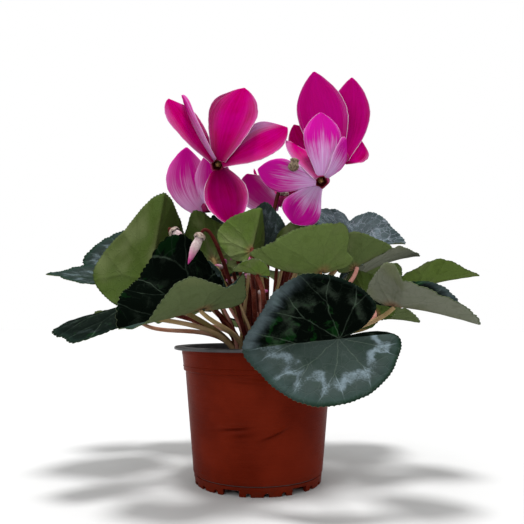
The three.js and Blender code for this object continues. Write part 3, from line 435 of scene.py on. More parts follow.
class Builder(Tree):
    """A Geometry Nodes tree with named inputs, which ends in a mesh."""

    FAMILY = "GeometryNode"
    SOCKETS = {float: "Float", int: "Int", tuple: "Vector", bpy.types.Material: "Material"}

    def __init__(self, name, **defaults):
        super().__init__(bpy.data.node_groups.new(name, "GeometryNodeTree"))
        self.name = name
        self.keys = {}
        face = self.tree.interface
        for way in ("INPUT", "OUTPUT"):
            face.new_socket("Geometry", in_out=way, socket_type="NodeSocketGeometry")
        for label, default in defaults.items():
            kind = next(k for k in self.SOCKETS if isinstance(default, k))
            title = label.replace("_", " ").capitalize()
            item = face.new_socket(title, in_out="INPUT", socket_type="NodeSocket" + self.SOCKETS[kind])
            if kind is not bpy.types.Material:
                item.default_value = default
            self.keys[label] = (title, item.identifier)
        self.entry = self.tree.nodes.new("NodeGroupInput")
        self.start = Value(self, self.entry.outputs["Geometry"])

    def __getitem__(self, label):
        """A named input."""
        return Value(self, self.entry.outputs[self.keys[label][0]])

    def position(self):
        return self.node("InputPosition")

    def stored(self, name, kind="FLOAT_VECTOR"):
        return self.node("InputNamedAttribute", {"Name": name}, data_type=kind)

    def store(self, geometry, name, value, kind="FLOAT_VECTOR"):
        inputs = {"Geometry": geometry, "Name": name, "Value": value}
        return self.node("StoreNamedAttribute", inputs, data_type=kind, domain="POINT")

    def place(self, geometry, **given):
        """Moves points to a position or by an offset."""
        inputs = {"Geometry": geometry, **{key.capitalize(): value for key, value in given.items()}}
        return self.node("SetPosition", inputs)

    def paint(self, geometry, material, **given):
        """Gives a material to all faces or to a selection of them."""
        inputs = {"Geometry": geometry, "Material": material}
        return self.node("SetMaterial", {**inputs, **{key.capitalize(): v for key, v in given.items()}})

    def grid(self, width, columns, rows):
        return self.node(
            "MeshGrid", {"Size X": width, "Size Y": 1.0, "Vertices X": columns, "Vertices Y": rows})

    def strew(self, points, instance, **given):
        """An instance on each point, turned by a rotation and sized by a scale."""
        inputs = {"Points": points, "Instance": instance}
        return self.node("InstanceOnPoints", {**inputs, **{key.capitalize(): v for key, v in given.items()}})

    def flip(self, mesh):
        return self.node("FlipFaces", {"Mesh": mesh})

    def merge(self, geometry, distance):
        return self.node("MergeByDistance", {"Geometry": geometry, "Distance": distance})

    def join(self, *parts):
        return self.node("JoinGeometry", {"Geometry": list(parts)})

    def real(self, geometry):
        return self.node("RealizeInstances", {"Geometry": geometry})

    def end(self, geometry):
        """Closes the tree: instances realised, faces smooth."""
        smooth = self.node("SetShadeSmooth", {"Geometry": self.real(geometry)})
        self.tree.links.new(smooth.socket, self.tree.nodes.new("NodeGroupOutput").inputs[0])
        return self

    def make(self, name, start, **given):
        """Runs the tree on a mesh or curve and returns the plain result as an object."""
        carrier = bpy.data.objects.new(name + "_start", start)
        bpy.context.scene.collection.objects.link(carrier)
        modifier = carrier.modifiers.new(self.name, "NODES")
        modifier.node_group = self.tree
        for label, value in given.items():
            modifier[self.keys[label][1]] = value
        graph = bpy.context.evaluated_depsgraph_get()
        mesh = bpy.data.meshes.new_from_object(carrier.evaluated_get(graph))
        mesh.name = name
        carrier.modifiers.remove(modifier)
        bpy.data.objects.remove(carrier)
        return object_of(mesh)


class Finish(Tree):
    """A material whose values are written as expressions."""

    FAMILY = "ShaderNode"

    def __init__(self, name):
        self.material = bpy.data.materials.new(name)
        self.material.use_nodes = True
        super().__init__(self.material.node_tree)
        self.shader = self.tree.nodes["Principled BSDF"]

    def attribute(self, name, out="Vector"):
        return self.node("Attribute", out=out, attribute_name=name)

    def number(self, name):
        return self.attribute(name, "Fac")

    def place(self):
        """Object coordinates in millimetres."""
        return self.node("TexCoord", out="Object") * (1 / MM)

    def layers(self, color, *coats):
        """A colour under coats, each a factor and a colour."""
        for factor, coat in coats:
            color = self.mix(factor, color, coat)
        return color

    def surface(self, base_color, roughness, relief=None, depth=0.0, specular=None, **given):
        """Sets or links the shader's sockets, and returns the material."""
        given.update(base_color=base_color, roughness=roughness)
        if relief is not None:
            given["normal"] = self.node("Bump", {"Height": relief, "Distance": depth, "Strength": 1.0})
        if specular is not None:
            given["specular_ior_level"] = specular
        for label, value in given.items():
            socket = self.shader.inputs[label.replace("_", " ").title().replace("Ior", "IOR")]
            if isinstance(value, Value):
                self.tree.links.new(value.socket, socket)
            else:
                socket.default_value = value
        return self.material


def vein_gap(angle, reach):
    """Distance to the nearest main vein, as a share of the midrib: the veins fan out from the
    stalk, and each but the midrib forks."""
    spacing = TURN / VEIN_COUNT
    away = ((angle / spacing + 100.5).of("FRACT") - 0.5) * spacing
    fork = (reach - VEIN_FORK).of("MAXIMUM", 0.0) * 0.42
    forked = abs(abs(away) - fork / (reach + 0.05)) * reach
    return forked.of("MINIMUM", abs(angle) * reach)


# Materials

def leaf_shares(m, cells):
    """What both faces of a blade read: its shares, a place for patterns, how far out it lies from
    the stalk, how far from a vein, and the net between the veins."""
    blade = m.attribute("blade")
    flat = m.arrow(blade.part(0), blade.part(1), m.number("seed"))
    bent = flat + (m.noise(flat, 5.0, 3.0).other("Color") - (0.5, 0.5, 0.5)) * 0.08
    reach = m.vector("LENGTH", {0: m.arrow(bent.part(0), bent.part(1))}, "Value")
    net = m.node("TexVoronoi", {"Vector": bent, "Scale": cells}, feature="DISTANCE_TO_EDGE")
    return blade, flat, reach, vein_gap(bent.turn(), reach), net


def leaf_top_material():
    m = Finish("leaf_upper_face")
    blade, flat, _, gap, net = leaf_shares(m, 9.0)
    tone, shade = m.attribute("tone"), m.attribute("shade")
    share = blade.part(2)
    vein = gap.step(0.002, 0.009, 1.0, 0.0)
    mesh = net.step(0.0, 0.06, 1.0, 0.0)
    cloud = m.noise(flat, 6.0, 4.0, 0.6, 0.3)
    fine = m.noise(flat, 60.0, 3.0)
    broad = m.noise(flat, 2.2)
    patch = m.noise(flat, 3.3, 3.0, 0.6)

    # The marbled band runs about two thirds of the way out, ragged where it meets the veins
    away = share - 0.62 + (cloud - 0.5) * 0.4 + (broad - 0.5) * 0.3 - gap.step(0.0, 0.11, 0.13, 0.0)
    band = away.step(-0.12, -0.01) * away.step(0.12, 0.03)
    torn = (fine * 0.35 + cloud * 0.7 + patch * 1.1 + tone.part(0) * 0.2).step(1.02, 1.34)
    spur = gap.step(0.002, 0.010, 1.0, 0.0) * share.step(0.55, 0.66) * share.step(0.95, 0.8)
    silver = (band * torn + spur * torn * 0.7).clamp() * (tone.part(0) * 1.2).clamp()
    thread = gap.step(0.001, 0.006, 1.0, 0.0) * cloud.step(0.3, 0.55, 0.25, 0.7)
    body = m.mix(tone.part(0), (0.007, 0.014, 0.009), (0.052, 0.072, 0.069))
    marbled = m.layers(
        m.mix(share.step(0.4, 0.66), m.mix(0.5, body, (0.02, 0.032, 0.024)), body),
        (cloud.step(0.35, 0.7) * 0.35, (0.035, 0.05, 0.042)),
        ((patch + fine * 0.3).step(0.62, 0.76) * 0.45, (0.012, 0.024, 0.018)),
        (share.step(0.78, 0.95) * 0.6, (0.020, 0.040, 0.034)),
        ((share + (cloud - 0.5) * 0.08).step(0.91, 0.98) * 0.85, (0.008, 0.022, 0.012)),
        (mesh * 0.15, (0.09, 0.11, 0.10)),
        (thread * share.step(1.0, 0.5, 0.15, 0.6), (0.10, 0.13, 0.10)),
        (silver * 0.8, (0.20, 0.26, 0.30)))

    # One half of a folded leaf can be painted in shade: near black with patches of green, as if it lay in
    # shade
    half_shade = m.blend(blade.part(1).step(-0.006, 0.006), shade.part(1), shade.part(0))
    dark = (half_shade - share.step(0.88, 0.99) * 0.35).clamp()
    green = (cloud + broad * 0.6).step(0.88, 0.98) * half_shade.step(1.6, 1.0)
    partly = cloud.step(0.42, 0.62)
    web = (vein * (0.12 + partly * 0.3) + silver * 0.25 + mesh * partly * 0.08).clamp()
    painted_shade_colour = m.layers(
        (0.0014, 0.0026, 0.0017), (green * 0.5, (0.004, 0.034, 0.005)),
        (web * half_shade.step(2.2, 0.8, 0.1, 1.0), (0.07, 0.10, 0.07)))

    # Frost lies over a silver leaf, blotched and laced, and rime combs out from a leaf's tip
    frost = shade.part(2)
    lace = (mesh + vein * 0.6).clamp() * (cloud + fine * 0.4).step(0.55, 0.8)
    comb = m.noise(m.arrow(blade.turn() * 20.0, share * 3.0), 1.0, 3.0)
    rime = m.number("rime") * (share + (comb - 0.5) * 0.12 + (cloud - 0.5) * 0.2).step(0.76, 0.98)
    rime = rime * blade.part(0).step(0.15, 0.6)
    rime = rime * (0.3 + cloud * 0.7 + comb * 0.4) * (0.25 + dark * 0.75)
    # Over the marbling goes the painted shade; the rime grows and the speckles fade where it is deep
    speckled = m.layers(
        marbled, (dark, painted_shade_colour),
        ((frost * (0.3 + fine * 0.5 + cloud * 0.3)).clamp(), (0.105, 0.135, 0.155)),
        (frost * (patch + cloud * 0.5).step(0.70, 0.88) * 0.75, (0.018, 0.030, 0.030)),
        ((frost * lace).clamp() * 0.8, (0.32, 0.36, 0.42)),
        (rime.clamp(), (0.085, 0.115, 0.125)),
        (fine.step(0.4, 0.8) * 0.10 * (1.0 - dark), (0.09, 0.12, 0.11)))
    relief = gap.step(0.0, 0.1, 1.0, 0.0) * -0.6 + mesh * -0.25 + fine * 0.12
    return m.surface(speckled, m.blend(silver, 0.5, 0.65) + fine * 0.1, relief, 0.0006, 0.0)


def leaf_bottom_material():
    m = Finish("leaf_lower_face")
    blade, flat, reach, gap, net = leaf_shares(m, 10.0)
    tone = m.attribute("tone")
    share = blade.part(2)
    vein = gap.step(0.003, 0.014, 1.0, 0.0)
    mesh = net.step(0.0, 0.07, 1.0, 0.0)
    cloud = m.noise(flat, 4.0, 4.0, 0.6)
    broad = m.noise(flat, 1.6)
    fine = m.noise(flat, 90.0, 3.0)
    clouded = m.layers(
        (0.034, 0.056, 0.010), (tone.part(1), (0.098, 0.150, 0.030)),
        (tone.part(2), (0.165, 0.175, 0.135)),
        (broad.step(0.45, 0.7) * 0.35, (0.075, 0.068, 0.032)),
        (cloud.step(0.35, 0.75) * 0.25, (0.06, 0.085, 0.03)))
    rim = m.layers(
        clouded, (mesh * 0.10, (0.04, 0.055, 0.018)),
        (vein * share.step(0.9, 0.4, 0.05, 0.25), m.mix(0.6, clouded, (0.045, 0.055, 0.020))),
        # Lighter patches at random places are painted highlights
        (broad.step(0.5, 0.72) * 0.45, (0.16, 0.195, 0.085)),
        (cloud.step(0.5, 0.3) * 0.25, (0.028, 0.044, 0.006)),
        (abs(blade.part(1)).step(0.09, 0.0) * reach.step(0.9, 0.2) * 0.4, (0.07, 0.06, 0.035)),
        (reach.step(0.0, 0.18, 0.6, 0.0), (0.20, 0.085, 0.045)),
        (fine.step(0.4, 0.8) * 0.12, (0.16, 0.19, 0.09)),
        (share.step(0.975, 0.99) * 0.5, (0.04, 0.055, 0.025)))
    relief = gap.step(0.0, 0.03, 1.0, 0.0) * 0.35 + mesh * 0.2 + fine * 0.1
    return m.surface(rim, 0.65 + fine * 0.15, relief, 0.0006, 0.01)


def petal_material(name, side):
    """A petal's deep face (side 0) or pale face (side 1), with streaks along its length."""
    m = Finish(name)
    petal, tone, form = (m.attribute(word) for word in ("petal", "pale", "form"))
    across, along, edge_gap = (petal.part(i) for i in range(3))
    width = abs(across)
    pale = tone.part(side)
    # Painted shade darkens a petal towards its middle, and a negative amount paints light over it instead
    dusk = (tone.part(2) * width.step(0.95, 0.5)).clamp()
    painted_light = (-tone.part(2)).clamp()

    def streaked(wide, long, *pattern):
        return m.noise(m.arrow(across * wide, along * long, m.number("seed")), *pattern)

    streaks = streaked(7.0, 0.8, 1.6, 4.0, 0.6, 0.3)
    ray = streaked(18.0, 0.7, 1.5, 3.0, 0.6, 0.2)
    fine = streaked(34.0, 1.6, 2.0)
    blush = streaked(1.2, 2.0, 1.5)
    deep = m.layers(
        streaks.tint((0.285, 0.0, 0.060), (0.39, 0.0, 0.120)),
        (blush.step(0.35, 0.7) * 0.5, (0.41, 0.0, 0.185)),
        (along.step(0.0, 0.35, 0.6, 0.0), (0.17, 0.0, 0.03)))

    # A pale face turns from streaked lilac at its foot to magenta at its tip
    white = m.mix(ray.step(0.3, 0.7) * 0.6, (0.50, 0.33, 0.54), (0.43, 0.10, 0.38))
    heat = ray * 0.5 + streaks * 0.7 + blush * 0.4 + along * 0.9 + width * 0.15
    flank = m.blend(across.of("GREATER_THAN", 0.0), form.part(1), form.part(2))
    flank = flank * (width + (ray - 0.5) * 0.6).step(0.25, 1.0) * along.step(0.98, 0.7)
    both = (pale * (1.0 - heat.step(0.95, 1.45)) + flank * (0.5 + ray * 0.6)).clamp()
    rayed = (width + (ray - 0.5) * 0.9).step(0.75, 1.1) * fine.step(0.4, 0.6) * along.step(0.02, 0.25)
    picotee = edge_gap.step(0.008, 0.035, 0.75, 0.0) * along.step(0.02, 0.2)
    # Painted light lifts the colour towards a lighter magenta, lilac where the face is pale, and painted
    # shade darkens it last
    petal_colour = m.layers(
        deep, (pale.clamp() * 0.6, (0.42, 0.008, 0.29)), (both, white),
        (rayed * 0.5, (0.58, 0.32, 0.60)), (picotee, (0.66, 0.46, 0.63)),
        (painted_light * (1.0 - picotee), m.mix(both, (0.47, 0.004, 0.24), (0.74, 0.40, 0.70))),
        (dusk, (0.02, 0.0, 0.008)))
    return m.surface(
        petal_colour, 0.6 + fine * 0.1, fine * 0.5 + streaks * 0.5, 0.0004, 0.0, subsurface_weight=0.1,
        subsurface_radius=(0.01, 0.001, 0.004), subsurface_scale=0.2)


def grained(name, scale, *pattern):
    """A new finish, object coordinates in millimetres and a fine pattern on them."""
    m = Finish(name)
    place = m.place()
    return m, place, m.noise(place, scale, *pattern)


def two_toned(name, pattern, dark, light, rough, depth=None, specular=None, span=(0.3, 0.7)):
    """A finish whose one fine pattern parts two colours, roughens them and may raise them."""
    m, _, fine = grained(name, *pattern)
    relief = fine if depth else None
    return m.surface(fine.tint(dark, light, *span), rough[0] + fine * rough[1], relief, depth, specular)


def corolla_tube_material():
    m, _, fine = grained("corolla_tube", 0.5, 3.0)
    outside = fine.tint((0.20, 0.0, 0.05), (0.32, 0.02, 0.12))
    inside = fine.tint((0.06, 0.001, 0.006), (0.12, 0.006, 0.012))
    tint = m.number("depth").tint(outside, inside, 0.7, 0.95)
    return m.surface(tint, 0.55 + fine * 0.15, fine, 0.0003, 0.1)


def stalk_material():
    m, place, fine = grained("stalk", 0.9, 3.0)
    along, tint = m.number("along"), m.number("tint")
    blotch = m.noise(place, 0.09, 3.0)
    red, tan, pink, olive = (blotch.tint(*pair, 0.35) for pair in (
        ((0.055, 0.006, 0.004), (0.14, 0.030, 0.018)), ((0.38, 0.26, 0.14), (0.27, 0.19, 0.08)),
        ((0.46, 0.22, 0.18), (0.33, 0.12, 0.09)), ((0.17, 0.13, 0.045), (0.22, 0.12, 0.055))))
    skin = tint.tint(tint.tint(tan, pink, 0.28, 0.32), olive, 0.52, 0.56)
    # Some stalks are dark red all along; the others turn the same dark red in patches towards the foot,
    # partly their own red and partly painted shade low in the crown
    red_and_foot_shade = tint.step(0.78, 0.82) + along.step(0.5, 0.05) * tint.step(0.1, 0.6) * blotch.step(0.3, 0.6)
    body = m.layers(skin, (red_and_foot_shade.clamp(), red), (fine.step(0.45, 0.8) * 0.2, (0.32, 0.20, 0.13)))
    return m.surface(body, 0.45 + fine * 0.2, fine, 0.0003, 0.04)


def flower_stem_material():
    m, place, fine = grained("flower_stem", 0.9, 3.0)
    red = m.noise(place, 0.08, 3.0).tint((0.035, 0.004, 0.004), (0.085, 0.016, 0.012), 0.35)
    body = m.layers(
        red, (m.number("along").step(0.5, 1.0) * 0.5, (0.045, 0.007, 0.006)),
        (fine.step(0.45, 0.8) * 0.12, (0.18, 0.08, 0.06)))
    return m.surface(body, 0.45 + fine * 0.2, fine, 0.0003, 0.02)


def tuber_material():
    m, place, fine = grained("tuber_cork", 0.5, 5.0, 0.65)
    flakes = m.node("TexVoronoi", {"Vector": place, "Scale": 0.25})
    tint = fine.tint((0.045, 0.02, 0.012), (0.13, 0.07, 0.045))
    return m.surface(tint, 0.85 + fine * 0.1, fine + flakes * 0.4, 0.001)


def peat_material():
    m, place, fine = grained("moist_peat", 0.8, 5.0, 0.7)
    dark = m.noise(place, 0.12, 3.0).tint((0.006, 0.004, 0.003), (0.02, 0.013, 0.009), 0.35, 0.65)
    tint = m.mix(fine.step(0.55, 0.8) * 0.6, dark, (0.07, 0.045, 0.03))
    return m.surface(tint, 0.85 + fine * 0.12, fine, 0.0012)


def pot_wall_material():
    m, place, fine = grained("terracotta_plastic", 2.2)
    height = place.part(2)
    drawn = m.noise(m.arrow(place.part(0) * 0.05, place.part(1) * 0.05, height * 1.6), 1.0, 3.0)
    cloud = m.noise(place, 0.03, 3.0)
    scuff = m.noise(place, 0.35, 4.0, 0.7, 1.0)
    wall_colour = m.layers(
        cloud.tint((0.072, 0.0048, 0.0010), (0.122, 0.0105, 0.0030)),
        (fine.step(0.3, 0.7) * 0.25, (0.135, 0.014, 0.005)),
        (drawn.step(0.4, 0.7) * 0.10, (0.15, 0.018, 0.007)),
        (scuff.step(0.66, 0.76) * 0.10, (0.24, 0.09, 0.055)),
        (height.step(14.0, 0.0) * scuff.step(0.4, 0.6) * 0.3, (0.05, 0.018, 0.010)))
    # Each crease is darkened with painted shade along its dent, the deeper the crease the darker
    for middle, level, slope, half_length, half_width, depth in POT_CREASES:
        along = (place.turn() - (middle if middle < math.pi else middle - TURN)) * WALL_RADIUS
        across = height - along * slope - level
        crease_shade = abs(along).step(half_length * 1.5, 0.0) * abs(across).step(half_width * 1.3, 0.0)
        wall_colour = m.mix(crease_shade * (depth * 0.8), wall_colour, (0.045, 0.003, 0.001))
    rough = 0.30 + scuff * 0.15 + drawn * 0.05
    return m.surface(wall_colour, rough, drawn * 0.5 + fine * 0.15 + cloud * 1.2, 0.0004, 0.02)


def pot_inside_material():
    m, place, fine = grained("black_plastic_layer", 1.4, 3.0)
    tint = m.noise(place, 0.1, 3.0).tint((0.012, 0.012, 0.014), (0.035, 0.034, 0.037))
    wall_colour = m.mix(fine.step(0.55, 0.8) * 0.35, tint, (0.10, 0.09, 0.085))
    return m.surface(wall_colour, 0.4 + fine * 0.2, fine, 0.0003)


def calyx_material():
    m, _, fine = grained("calyx", 0.7, 3.0)
    green = fine.tint((0.09, 0.045, 0.03), (0.36, 0.28, 0.23), 0.35, 0.65)
    tint = m.mix(m.number("along").step(0.7, 1.0) * 0.5, green, (0.46, 0.38, 0.34))
    return m.surface(tint, 0.6 + fine * 0.15, fine, 0.0004)


def bud_material():
    m, _, fine = grained("bud_petals", 0.8, 3.0)
    pale = fine.tint((0.52, 0.44, 0.42), (0.44, 0.30, 0.32), 0.35)
    pink = fine.tint((0.42, 0.01, 0.17), (0.52, 0.12, 0.32), 0.35)
    tint = m.number("along").tint(pale, pink, 0.35, 0.9)
    return m.surface(tint, 0.55 + fine * 0.1, fine, 0.0004, 0.15)


def floor_material():
    m, _, fine = grained("studio_floor", 0.02)
    return m.surface(m.mix(fine, (0.495, 0.495, 0.495), (0.505, 0.505, 0.505)), 0.7)


UPPER = leaf_top_material()
LOWER = leaf_bottom_material()
MARGIN = two_toned(
    "leaf_margin", (0.8, 3.0), (0.03, 0.05, 0.02), (0.12, 0.14, 0.07), (0.6, 0.1), specular=0.1)
PETAL_DEEP = petal_material("petal_deep_face", 0)
PETAL_PALE = petal_material("petal_pale_face", 1)
PETAL_EDGE = two_toned(
    "petal_edge", (0.6, 2.0), (0.62, 0.36, 0.54), (0.72, 0.58, 0.70), (0.5, 0.1), specular=0.1)
TUBE = corolla_tube_material()
STALK = stalk_material()
FLOWER_STEM = flower_stem_material()
TUBER = tuber_material()
PEAT = peat_material()
POT_WALL = pot_wall_material()
POT_INSIDE = pot_inside_material()
ANTHER = two_toned(
    "anther_cone", (1.2, 3.0), (0.09, 0.035, 0.008), (0.34, 0.18, 0.05), (0.7, 0.2), 0.0005,
    span=(0.35, 0.65))
CALYX = calyx_material()
BUD = bud_material()
DRIED = two_toned(
    "dried_petals", (0.7, 4.0, 0.65), (0.05, 0.03, 0.018), (0.26, 0.19, 0.12), (0.85, 0.1), 0.0012)
FLOOR = floor_material()


# Geometry trees

def thickened(b, surface, thickness, front, back, edge):
    """A closed body from a surface: front and back faces, and a strip along the edge."""
    normal = b.node("InputNormal")
    low = b.place(surface, offset=normal * (thickness * -0.5))
    raised = b.node(
        "ExtrudeMesh", {"Mesh": low, "Offset": normal, "Offset Scale": thickness, "Individual": False},
        mode="FACES")
    shell = b.paint(b.paint(raised, edge), front, selection=raised.other("Top"))
    return b.merge(b.join(b.paint(b.flip(low), back), shell), 1e-6)


def blade_tree():
    """A leaf blade: a heart-shaped sheet in polar form about the stalk, folded along its midrib."""
    halves = {word + half: 0.0 for word in ANGLES for half in ("_left", "_right")}
    halves.update({word + half: 1.0 for word in SHARES for half in ("_left", "_right")})
    b = Builder(
        "leaf_blade", midrib_length=0.05, base=(0.0, 0.0, 0.0), ahead=(1.0, 0.0, 0.0),
        leftward=(0.0, 1.0, 0.0), upward=(0.0, 0.0, 1.0), rear_from=0.0, rear_to=-1.0, point=0.14,
        notch=0.0, corner_1=NO_CORNER, corner_2=NO_CORNER, corner_3=NO_CORNER, arch=0.03, wave=0.03,
        phase=0.0, rime=0.0, teeth=90, angle_steps=241, rings=18, quilting=0.00035, seed=0.0,
        tone=(0.5, 0.5, 0.0), shade=(0.0, 0.0, 0.0), thickness=BLADE_THICKNESS * MM,
        upper=UPPER, lower=LOWER, margin=MARGIN, **halves)
    sheet = b.grid(TURN, b["angle_steps"], b["rings"])
    where = b.position()
    angle = where.part(0)
    share = (where.part(1) + 0.5) ** 0.8
    length = b["midrib_length"]
    left = angle.of("GREATER_THAN", 0.0)

    def sided(name, on_left=left):
        return b.blend(on_left, b[name + "_right"], b[name + "_left"])

    # The margin in polar form: a heart with a notch at the stalk, a point at the tip, and corners
    turned = angle * (180 / math.pi)
    degrees = abs(turned)
    from_notch = abs(180.0 - abs(turned - b["notch"]))
    into_notch = ((HEART_NOTCH_WIDTH - from_notch) / HEART_NOTCH_WIDTH).clamp()
    notch = 1.0 - into_notch ** 2.5 * HEART_NOTCH_DEPTH
    point = degrees.bell(POINT_WIDTH) * b["point"]
    past_notch = turned.of("LESS_THAN", b["notch"] - 179.99)
    lobe = sided("lobe", left.of("MAXIMUM", past_notch))
    back = 1.0 - (1.0 - lobe) * ((degrees - LOBE_FROM) / LOBE_OVER).clamp()
    corners = 1.0
    for corner in (b["corner_1"], b["corner_2"], b["corner_3"]):
        apart = 180.0 - abs(180.0 - abs(turned - corner.part(0)))
        corners = apart.bell(corner.part(2)) * corner.part(1) + corners
    outline = (BLADE_REACH + angle.of("COSINE") * 0.07 + point) * notch * back * corners
    tooth = abs((angle * b["teeth"] * 0.5).of("SINE"))
    ragged = b.noise(b.arrow(angle, b["seed"]), 3.0) - 0.5
    cut = (tooth * 0.022 - 0.02 + ragged * 0.05) * share ** 10.0
    reach = outline * share * (1.0 + cut)
    along = reach * angle.of("COSINE")
    across = reach * angle.of("SINE")

    # Each half folds up along the midrib and curls on
    run = abs(across) * sided("width") * length
    rear_share = ((b["rear_from"] - along) / (b["rear_from"] - b["rear_to"])).clamp()
    fold = sided("fold") + sided("rear") * rear_share
    curl = (sided("curl") + 0.0001) / (length * BLADE_REACH)
    bent = fold + curl * run
    out = (bent.of("SINE") - fold.of("SINE")) / curl
    up = (fold.of("COSINE") - bent.of("COSINE")) / curl
    arch = b["arch"] * 4.0 * along * (1.0 - along.of("MAXIMUM", 0.0))
    wave = b["wave"] * share ** 3.0 * (angle * 5.0 + b["phase"]).of("SINE")
    quilt = vein_gap(angle, reach).step(0.0, 0.075) * b["quilting"] * share.step(0.0, 0.25)
    ripple = (b.noise(b.arrow(along * 6.0, across * 6.0, b["seed"]), 1.0, 3.0) - 0.5) * 0.028 * share
    frill = (angle * 23.0 + ragged * 9.0).of("SINE") * share ** 6.0 * 0.006
    height = up + (arch + wave + ripple + frill) * length + quilt
    point_at = (
        b["base"] + b["ahead"] * (along * length) + b["leftward"] * (out * (left * 2.0 - 1.0))
        + b["upward"] * height)
    sheet = b.store(sheet, "blade", b.arrow(along, across, share))
    sheet = b.merge(b.place(sheet, position=point_at), 2e-6)
    for word in ("tone", "shade"):
        sheet = b.store(sheet, word, b[word])
    for word in ("seed", "rime"):
        sheet = b.store(sheet, word, b[word], "FLOAT")
    thin = b["thickness"] * b.stored("blade").part(2).step(0.8, 1.0, 1.0, 0.55)
    return b.end(thickened(b, b.flip(sheet), thin, b["upper"], b["lower"], b["margin"]))


def petal_tree():
    """The petals of a bloom: one sheet for each point of the mesh that comes in, swept along a
    bent line from the mouth to the petal's tip."""
    b = Builder(
        "petals", rows=PETAL_ROWS, columns=PETAL_COLUMNS, cup=0.22, ruffle=0.05, roll_angle=2.5,
        thickness=PETAL_THICKNESS * MM, deep=PETAL_DEEP, pale=PETAL_PALE, edge=PETAL_EDGE)
    grid = b.grid(2.0, b["columns"], b["rows"])
    where = b.position()
    grid = b.store(grid, "grid", b.arrow(where.part(0), where.part(1) + 0.5))
    sheet = b.real(b.strew(b.start, grid))
    cell, start, control, end, faces, size = (
        b.stored(word) for word in ("grid", "start", "control", "tip", "faces", "size"))
    s, t = cell.part(0), cell.part(1)
    seed = b.stored("seed", "FLOAT")
    centre = start * ((1.0 - t) ** 2.0) + control * (t * (1.0 - t) * 2.0) + end * (t ** 2.0)
    along = (control - start) * ((1.0 - t) * 2.0) + (end - control) * (t * 2.0)

    def unit(arrow):
        return b.vector("NORMALIZE", {0: arrow})

    tangent = unit(along)
    face = unit(faces - tangent * b.vector("DOT_PRODUCT", {0: faces, 1: tangent}, "Value"))
    side = b.vector("CROSS_PRODUCT", {0: face, 1: tangent})
    belly = b.stored("form").part(0)
    narrow = ((1.0 - t) ** 1.5 * 0.3 + ((t ** belly) * (math.pi * 0.985) + 0.02).of("SINE") ** 0.8) * 0.5
    half = (narrow * size.part(0)).of("MAXIMUM", 0.0004)
    bite = b.noise(b.arrow(s * 1.5, t * 6.0, seed), 2.0) - 0.5

    # Each margin may roll over towards the deep face and show the pale one
    positive = s.of("GREATER_THAN", 0.0)
    rolled = b.blend(positive, size.part(1), size.part(2)) * t.step(0.0, 0.35) * t.step(1.0, 0.7)
    rolled = rolled.of("MAXIMUM", 0.02)
    wide = half * (1.0 + bite * 0.10) / (1.0 - rolled * 0.55)
    curve_radius = wide * rolled / b["roll_angle"]
    flat_part = (1.0 - rolled) * wide
    beyond = (abs(s) * wide - flat_part).of("MAXIMUM", 0.0) / curve_radius
    out = (abs(s) * wide).of("MINIMUM", flat_part) + beyond.of("SINE") * curve_radius
    reach = out * (positive * 2.0 - 1.0)
    lift = half * b["cup"] * s ** 2.0 + (1.0 - beyond.of("COSINE")) * curve_radius
    ruffle = (t * 13.0 + seed * 7.0 + s * 2.0).of("SINE") * abs(s) ** 3.0 * half * b["ruffle"]
    swell = (t * math.pi).of("SINE")
    groove = (s * 21.0 + bite * 6.0).of("SINE") * swell * 0.00012
    rib = (s * 3.2 + bite * 2.0).of("COSINE") * half * 0.035
    twist = s * swell * half * (seed * 5.0).of("SINE") * 0.12
    height = lift + ruffle + groove + rib + twist + s ** 4.0 * half * t * -0.10
    sheet = b.store(sheet, "petal", b.arrow(s, t, (1.0 - abs(s)) * narrow * 2.0))
    sheet = b.place(sheet, position=centre + side * reach + face * height)
    thin = b["thickness"] * abs(b.stored("petal").part(0)).step(0.6, 1.0, 1.0, 0.5)
    return b.end(thickened(b, b.flip(sheet), thin, b["deep"], b["pale"], b["edge"]))


def stalk_tree():
    """Round stalks along the curves that come in, each a little ridged, with its own tint."""
    b = Builder("stalks", sides=12, ridge=0.00012, skin=STALK)
    curve = b.store(b.start, "along", b.node("SplineParameter"), "FLOAT")
    curve = b.store(curve, "tint", b.node("InputCurveTilt"), "FLOAT")
    ring = b.node("CurvePrimitiveCircle", {"Resolution": b["sides"], "Radius": 1.0})
    tube = b.node("CurveToMesh", {
        "Curve": curve, "Profile Curve": ring, "Fill Caps": True, "Scale": b.node("InputRadius")})
    lumps = (b.noise(b.position(), 260.0) - 0.5) * b["ridge"] * 2.0
    tube = b.place(tube, offset=b.node("InputNormal") * lumps)
    return b.end(b.paint(tube, b["skin"]))


def crumb_tree():
    """Peat crumbs strewn over a surface and sunk into it."""
    b = Builder(
        "peat_crumbs", spacing=0.0021, density=160000.0, smallest=0.6, largest=2.0, reach=0.0475,
        seed=5, peat=PEAT)
    place = b.position()
    from_axis = b.vector("LENGTH", {0: b.arrow(place.part(0), place.part(1))}, "Value")
    on_top = place.part(2).of("GREATER_THAN", (SOIL_Z - 1.5) * MM) * from_axis.of("LESS_THAN", b["reach"])
    points = b.node("DistributePointsOnFaces", {
        "Mesh": b.start, "Distance Min": b["spacing"], "Density Max": b["density"], "Seed": b["seed"],
        "Selection": on_top}, distribute_method="POISSON")
    crumb = b.node("MeshIcoSphere", {"Radius": MM, "Subdivisions": 2})
    crumb = b.place(crumb, position=b.position() * (b.noise(b.position(), 900.0, 3.0) + 0.5))

    def drawn(low, high, seed, kind="FLOAT_VECTOR"):
        inputs = {"Min": low, "Max": high, "Seed": seed}
        return b.node("FunctionNodeRandomValue", inputs, data_type=kind)

    size = drawn((0.6, 0.6, 0.4), (1.4, 1.4, 0.9), 11)
    spread = drawn(b["smallest"], b["largest"], 12, "FLOAT")
    turn = drawn((0, 0, 0), (TURN, TURN, TURN), 13)
    strewn = b.strew(points, crumb, rotation=turn, scale=size * spread)
    return b.end(b.paint(b.real(b.join(strewn, b.start)), b["peat"]))


